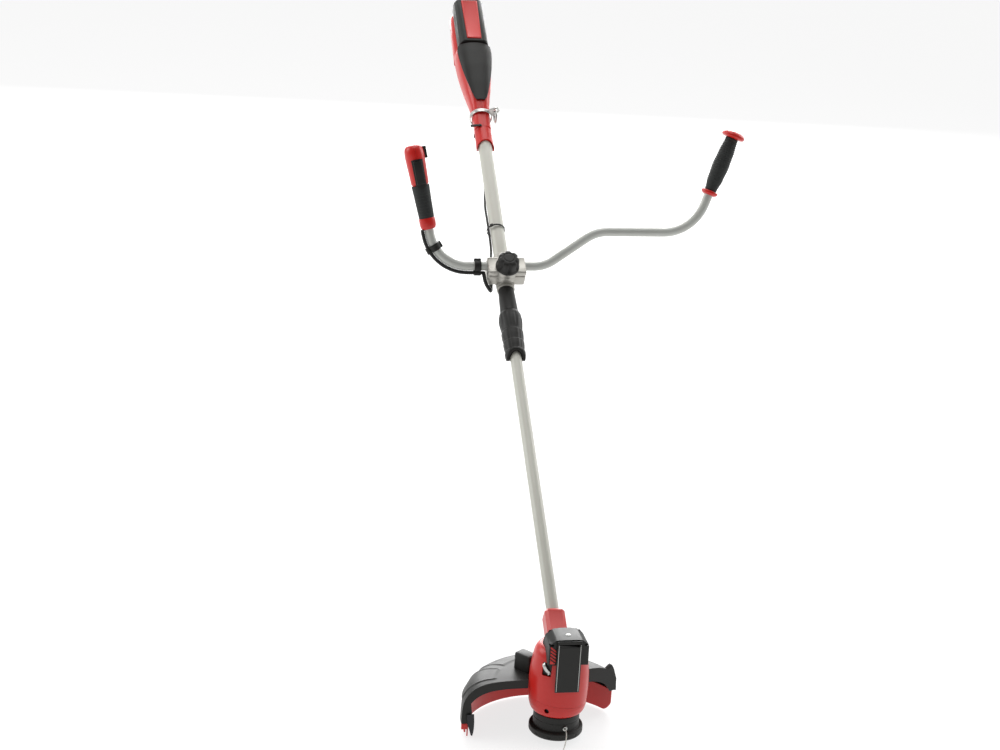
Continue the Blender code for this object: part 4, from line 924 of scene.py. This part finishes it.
def screw_head(radius=3.0):
    """A pan head with a hexagonal socket, its seat at zero."""
    profile = [(0, 1.6), (radius * 0.7, 1.5), (radius, 0.6), (radius, -1), (0, -1)]
    return combined(turned(softened(profile, 0.5), 36), moved(rod(1.3, 2.4, 6), placed(0, 0, 1.6)))


lower_ring = [
    (50.3, 76), (49.8, 65), (49.4, 57), (47.4, 49), (45.6, 45.2), (43.6, 43), (9, 43), (9, 49),
    (14.5, 49), (14.5, 63), (17, 63), (17, 47), (44, 47), (46.8, 58), (47.2, 76), (50.3, 76),
]
shape = cut_at_parting(turned(softened(lower_ring, 1.0), 96), False, -0.15)
screw_turn = radians(-123)
screw_spot = Vector((48 * cos(screw_turn), 48 * sin(screw_turn), 56))
bore = moved(rod(4.4, 12, 32), Matrix.Rotation(pi / 2, 4, "Y"), placed(*screw_spot, screw_turn))
shape = combined(shape, bore)
add(shape, "head_ring_moulded", head, red_abs, "lower_shaft", ["head_ring"], sharp=34,
    bevel=0.5)
screw = moved(screw_head(3.2), Matrix.Translation((0, 0, -4.6)), Matrix.Rotation(pi / 2, 4, "Y"),
    placed(*screw_spot, screw_turn))
add(screw, "head_ring_screw", head, black_steel, "lower_shaft")

# Steel spring plate in the pocket at the drum's left, over a black backing block.
backing = moved(block((3, 16.2, 22.2), (-2.6, 0, 0), 0.8), pocket_at)
add(backing, "spring_backing", head, black_nylon, "lower_shaft")
plate_points = [(-0.5, 12.0), (2.0, 10.0), (3.4, 6.0), (3.6, 1.5), (2.4, -3.0), (0.6, -6.5), (2.0, -9.0)]
spring_plate = prism([*plate_points, *[(x - 1.0, z) for x, z in reversed(plate_points)]], -3.0, 3.0, 0.2, 2)
spring_plate = moved(spring_plate, Matrix.Rotation(pi / 2, 4, "X"), Matrix.Rotation(radians(38), 4, "X"),
    pocket_at)
add(spring_plate, "spring_plate_bent", head, steel, "lower_shaft")


# Hood and cover panel: a matt black shell over the motor's front with a crowned top, small side openings
# and a long plain panel down the front. A thin bright steel strip down each side of the panel is a painted
# highlight, standing in for the light that its bevelled edges catch.

hood = hood_body(0, 0)
rim = [e for e in hood.edges if abs(e.verts[0].co.y - e.verts[1].co.y) < 0.01 and e.verts[0].co.z > 150]
bmesh.ops.bevel(hood, geom=rim, offset=1.8, segments=3, profile=0.5, affect="EDGES", material=-1,
    clamp_overlap=True)
hood = combined(hood, hood_body(0, 2.5))
for side in (-1, 1):
    hood = combined(hood, block((8, 9, 3.4), (HOOD_X + side * 30, -47, 182.5), 1.0, 3))
add(hood, "front_hood_moulded", head, black_nylon, "lower_shaft", ["front_shell"], sharp=40,
    bevel=0.4)
badge = turned(softened([(0, 0.9), (2.6, 0.9), (3.2, 0.2), (3.2, -1), (0, -1)], 0.3), 48)
badge = moved(badge, Matrix.Diagonal((1.5, 1, 1, 1)), placed(HOOD_X + 1, -30, 192.2))
add(badge, "hood_badge_blank", head, steel, "lower_shaft")

grille = prism([(-31.8, 149), (-22, 149), (-22, 173), (-31.8, 181)], -0.7, 0.7, 0.4)
for k in range(4):
    slot = moved(block((14, 2.3, 4), bevel=0.5), placed(-26.5, 154 + 6.0 * k, 0, radians(-38)))
    grille = combined(grille, slot)
grille = moved(grille, Matrix.Rotation(pi / 2, 4, "X"), placed(HOOD_X, -50.5, 0))
add(grille, "hood_vent_grille", head, red_abs, "lower_shaft")

panel = block((42, 3.2, 94), (HOOD_X, -53.2, 144), 1.3, 4)
panel = combined(panel, block((44, 1.4, 0.9), (HOOD_X, -54.9, 185.5)))
panel = combined(panel, block((44, 1.4, 0.9), (HOOD_X, -54.9, 180.5)))
# Grooves down both sides of the panel seat the painted highlight strips.
for side in (-1, 1):
    panel = combined(panel, block((1.3, 1.2, 86), (HOOD_X + side * 18.6, -54.8, 142)))
add(panel, "cover_panel_moulded", head, black_nylon, "lower_shaft", ["cover_panel"],
    bevel=0.3)
# Painted highlight: thin bright strips along the panel's sides stand in for the light on its bevelled edges.
highlight_strips = joined(*[block((0.9, 0.5, 86), (HOOD_X + side * 18.6, -54.6, 142), 0.2, 2) for side in (-1, 1)])
add(highlight_strips, "cover_panel_painted_highlights", head, steel, "lower_shaft")


# Spool case: a cup of glass-filled nylon with a neck and a notched flange, held on the motor's shaft. Two
# plated eyelets let the line out, and the fluted bump knob stands below.

case = [
    (37.5, 41), (39.5, 39.5), (39.5, 30), (39.1, 29.6), (39.1, 28.4), (39.5, 28), (39.5, 15), (43, 14.2),
    (45.6, 13), (46.3, 11.5), (46.3, 3), (44, 0), (16.6, 0), (16.6, 2.5), (37, 2.5), (37, 38.4),
    (7.3, 38.4), (7.3, 41), (37.5, 41),
]
shape = turned(softened(case, 0.9), 96)
EYELET_AT = radians(-79)
for turn in (EYELET_AT, EYELET_AT + pi):
    hole_at = Matrix.Translation((38 * cos(turn), 38 * sin(turn), 21)) @ Matrix.Rotation(turn, 4, "Z")
    shape = combined(shape, moved(rod(3.3, 12, 32), Matrix.Rotation(pi / 2, 4, "Y"), hole_at))
for k in range(12):
    a = 2 * pi * k / 12
    notch = moved(block((2.4, 7, 5.0), bevel=0.8), Matrix.Translation((46.9, 0, 7)))
    shape = combined(shape, moved(notch, Matrix.Rotation(a + 0.1, 4, "Z")))
add(shape, "spool_case_moulded", head, black_nylon, "spool_drive", ["spool_case"], bevel=0.3)
for name, turn in (("front", EYELET_AT), ("rear", EYELET_AT + pi)):
    eyelet = [(3.0, 3.8), (4.0, 3.6), (4.2, 3.0), (4.2, 2.3), (3.0, 2.3), (3.0, -1.5), (1.6, -1.5),
        (1.6, 3.2), (2.0, 3.7), (3.0, 3.8)]
    seat = Matrix.Translation((38 * cos(turn), 38 * sin(turn), 21)) @ Matrix.Rotation(turn, 4, "Z")
    shape = moved(turned(softened(eyelet, 0.3), 40), Matrix.Rotation(pi / 2, 4, "Y"), seat)
    add(shape, "eyelet_pressed_" + name, head, steel, "spool_drive", ["eyelet_" + name])
knob = [(0, 5), (13.6, 5), (13.6, 3), (15.8, 3), (15.8, -6), (15, -8.4), (13, -9.7), (11, -10), (0, -10)]
shape = turned(softened(knob, 0.8), 80)
for k in range(10):
    a = 2 * pi * k / 10
    shape = combined(shape, moved(rod(1.7, 12, 20, 0.6), placed(16.6 * cos(a), 16.6 * sin(a), -5)))
add(shape, "bump_knob_fluted", head, black_nylon, "bump_head", ["bump_knob"], bevel=0.3)


# Guard: one moulded canopy with raised panels, a flanged front edge, a hollow tower against the drum,
# a red skirt inside it and a steel line cutter in a hooked end.

canopy = [
    (30, 94), (60, 94), (88, 92.5), (112, 88), (130, 79), (142, 66), (148.5, 48), (150, 16),
]
GUARD_X, GUARD_FROM, GUARD_TO = -14.0, radians(27), radians(180)
line = route([(r, 0, z) for r, z in canopy], 2.5)
canopy_rows = [(p.x, p.z, i / (len(line) - 1)) for i, p in enumerate(line)]


def canopy_point(across, row):
    radius, height, share = row
    angle = GUARD_FROM + across * (GUARD_TO - GUARD_FROM)
    degrees = angle * 180 / pi
    raised = 0.0
    for low, high, inner, outer in ((50, 92, 0.34, 0.80), (100, 140, 0.34, 0.80), (148, 173, 0.34, 0.80)):
        edge = min((degrees - low) * 1.6, (high - degrees) * 1.6, (share - inner) * 90, (outer - share) * 90)
        raised = max(raised, 1.3 * min(1, max(0, edge / 2.2)), 2.4 * max(0, 1 - abs(edge - 2.4) / 1.8))
    radius, height = radius + raised * share, height + raised * (1 - share * 0.7)
    return Vector((radius * cos(angle) + GUARD_X, radius * sin(angle), height))


top = surface(150, canopy_rows, canopy_point)
if sum(face.normal.z for face in top.faces) < 0:
    bmesh.ops.reverse_faces(top, faces=top.faces)
guard = thickened(top, 2.9, -1)


def edge_wall(angle, thickness, shift, depth, foot):
    """The flanged edge that hangs from the canopy, ending at its foot."""
    upper = [(p.x - 1.0, p.z - 1.5) for p in line if p.z > foot[1] - 1]
    lower = [(p.x - depth * 0.35 - 1, p.z - depth) for p in line if p.x < 141] + [foot]
    wall = prism(upper + lower[::-1], -thickness / 2, thickness / 2)
    wall = moved(wall, Matrix.Rotation(pi / 2, 4, "X"), Matrix.Rotation(angle, 4, "Z"))
    return moved(wall, placed(GUARD_X + shift.x, shift.y, 0))


inward = Vector((-sin(GUARD_FROM), cos(GUARD_FROM)))
guard = combined(guard, edge_wall(pi, 3.2, Vector((0, 1.44)), 15, (130, 16)), "UNION")
guard = combined(guard, edge_wall(GUARD_FROM, 3.2, inward * 1.44, 24, (136, 37)), "UNION")
fin_outline = [
    (120, 77), (127, 83.5), (132, 87), (134, 88), (136, 88), (139, 84), (142, 78), (149, 58), (149, 42),
    (146, 40), (136, 56), (126, 68),
]
fin = prism(fin_outline, -3.5, 3.5, 0.8)
fin = moved(fin, Matrix.Rotation(pi / 2, 4, "X"), Matrix.Rotation(GUARD_FROM, 4, "Z"))
guard = combined(guard, moved(fin, placed(GUARD_X + inward.x * 3.5, inward.y * 3.5, 0)), "UNION")
rim_notch = moved(block((20, 18, 60), (150, 6, 6)), Matrix.Rotation(GUARD_FROM, 4, "Z"), placed(GUARD_X))
guard = combined(guard, rim_notch)
tower_at = placed(-50, 44, 102, radians(40))
guard = combined(guard, moved(block((24, 34, 44), bevel=4, segments=4), tower_at), "UNION")
opening = moved(rod(5.0, 16, 40), Matrix.Diagonal((1, 1.9, 1, 1)), Matrix.Rotation(pi / 2, 4, "X"))
guard = combined(guard, moved(opening, placed(0, -17, 6), tower_at))
guard = combined(guard, moved(rod(52.2, 200, 96), placed(0, 0, 120)))
guard = combined(guard, moved(block((37, 60, 120), (0, 10, -60)), in_head))
add(guard, "guard_canopy_moulded", head, black_nylon, "lower_shaft", ["guard"], sharp=30,
    bevel=0.5)

SKIRT_INSET = 0.027
skirt_rows = [(144, 36), (144, 30), (144, 24), (144, 18), (144, 12), (144, 6), (144, 0), (143.8, -8)]


def skirt_point(across, row):
    """The skirt's lower edge rises towards both of its ends."""
    radius, height = row
    angle = GUARD_FROM + SKIRT_INSET + across * (GUARD_TO - GUARD_FROM - 2 * SKIRT_INSET)
    rise = 18 * max(0, 1 - across * 20) ** 2 + 5 * max(0, 1 - (1 - across) * 22)
    return Vector((radius * cos(angle) + GUARD_X, radius * sin(angle), height + rise * (36 - height) / 44))


shape = surface(120, skirt_rows, skirt_point)
shape = joined(thickened(shape, 2.6, -1), block((12, 4, 11), (-157.5, 1.2, 10), 1.2),
    block((2.2, 1.6, 13), (-153, -0.2, -1.4), 0.5))
add(shape, "guard_skirt_moulded", head, red_abs, "lower_shaft",
    ["guard_extension"], bevel=0.6)

blade = [
    (-6, 14), (-5.6, 4), (-4.4, -6), (-1, -15), (1.8, -25), (4.6, -27.6), (6.2, -20), (7, -12), (7, 0),
    (6, 14),
]
shape = prism(blade, -1, 1)
shape = moved(shape, Matrix.Rotation(pi / 2, 4, "X"), placed(-149, -2.4, 20))
add(shape, "line_cutter_ground", head, black_steel, "lower_shaft", ["line_cutter"], bevel=0.35)


# Springs: two coils of plated wire, one behind the trigger and one over the bobbin.

for name, radius, low, high, wire, body, frame_of, where, joint_name, keep in (
    ("trigger_spring", 2.6, 0, 17, 0.5, "handlebar", handle, placed(0, 2.6, 98, pi / 2, "X"), "trigger_pull",
    0.45),
    ("spool_spring", 11, 10, 37.2, 0.8, "bump_head", head, placed(), "bump_feed", 0.8),
):
    turns = [2 * pi * k / 20 for k in range(81)]
    coil = [(radius * cos(a), radius * sin(a), low + (high - low) * a / (8 * pi)) for a in turns]
    made = add(moved(tube(coil, wire, 3), where), name + "_coiled", frame_of, steel, body, [name],
        sharp=60)
    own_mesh(made)


# Inner parts: motor, bearings, leads, switch, terminal and board keep their CAD shapes and take their real
# finishes. The seams and the vents let a little of them be seen.

# Enamelled copper wire looks brown and glossy. The board's lacquer is a dark green.
copper = new_material("enamelled_copper_winding", "#8C4A23", 0.3, 0.85)
grained(copper, 0.6, 0.08, 0.25, 0.4, "#6E3818", 0.6)
green = new_material("solder_masked_board", "#1F4A33", 0.35, IOR=1.5)
grained(green, 1.0, 0.05, 0.3, 0.5, "#2B5B3C", 0.6)
inner_parts = {
    "shaft_bush": black_nylon, "front_lead": pvc, "rear_lead": pvc, "micro_switch": black_nylon,
    "battery_terminal": black_nylon, "rotor": steel,
    "bearing_upper": steel, "bearing_lower": steel, "stator": copper, "controller_board": green,
}
for name, material in inner_parts.items():
    slots = frame["nodes"][name].data.materials
    slots.clear()
    slots.append(material)


# Floor and light: a white sweep, an even white surround, a strong softbox behind that lifts the upper
# surfaces, and softer ones at the sides and above.

# The tool stands on the bump knob, whose foot is this far below the head frame's zero, in metres.
KNOB_FOOT, CLEAR = 0.010, 0.0005
floor_z = head.translation.z - KNOB_FOOT
shape = bmesh.new()
bmesh.ops.create_grid(shape, x_segments=1, y_segments=1, size=15)
mesh = bpy.data.meshes.new("studio_floor")
shape.to_mesh(mesh)
shape.free()
mesh.transform(Matrix.Translation((0, 0, floor_z - CLEAR)))
# The sweep is lit from below as well, so that it stays white with hardly a shadow.
paper = new_material("white_paper_sweep", "#8C8C8C", 0.9, Emission_Color=(1, 1, 1, 1), Emission_Strength=0.78)
mesh.materials.append(paper)
floor = bpy.data.objects.new("studio_floor", mesh)
bpy.context.scene.collection.objects.link(floor)

world = bpy.data.worlds.new("white_surround")
world.use_nodes = True
back = world.node_tree.nodes["Background"]
toward = node(world, "ShaderNodeTexCoord", {}).outputs["Generated"]
toward = node(world, "ShaderNodeSeparateXYZ", {"Vector": toward}).outputs["Y"]
glow = node(world, "ShaderNodeMapRange",
    {"Value": toward, "From Min": -1.0, "From Max": 1.0, "To Min": 0.1, "To Max": 0.8})
seen = node(world, "ShaderNodeLightPath", {}).outputs["Is Camera Ray"]
strength = node(world, "ShaderNodeMix", {"Factor": seen, "A": glow.outputs["Result"], "B": 1.05})
world.node_tree.links.new(strength.outputs["Result"], back.inputs["Strength"])
back.inputs["Color"].default_value = (1, 1, 1, 1)
bpy.context.scene.world = world
for name, spot, size, power in (
    ("softbox_behind", (0.5, 3.2, 1.1), 3.4, 230),
    ("softbox_left", (-3.2, 0.6, 1.2), 2.0, 45),
    ("softbox_right", (3.2, 0.8, 1.2), 2.0, 45),
    ("softbox_above", (0.0, 0.2, 3.4), 3.0, 60),
):
    lamp = bpy.data.lights.new(name, "AREA")
    lamp.shape, lamp.size, lamp.energy = "SQUARE", size, power
    made = bpy.data.objects.new(name, lamp)
    aim = Vector((0, -0.5, -0.4)) - Vector(spot)
    made.matrix_world = Matrix.Translation(spot) @ aim.to_track_quat("-Z", "Y").to_matrix().to_4x4()
    made.visible_camera = False
    bpy.context.scene.collection.objects.link(made)
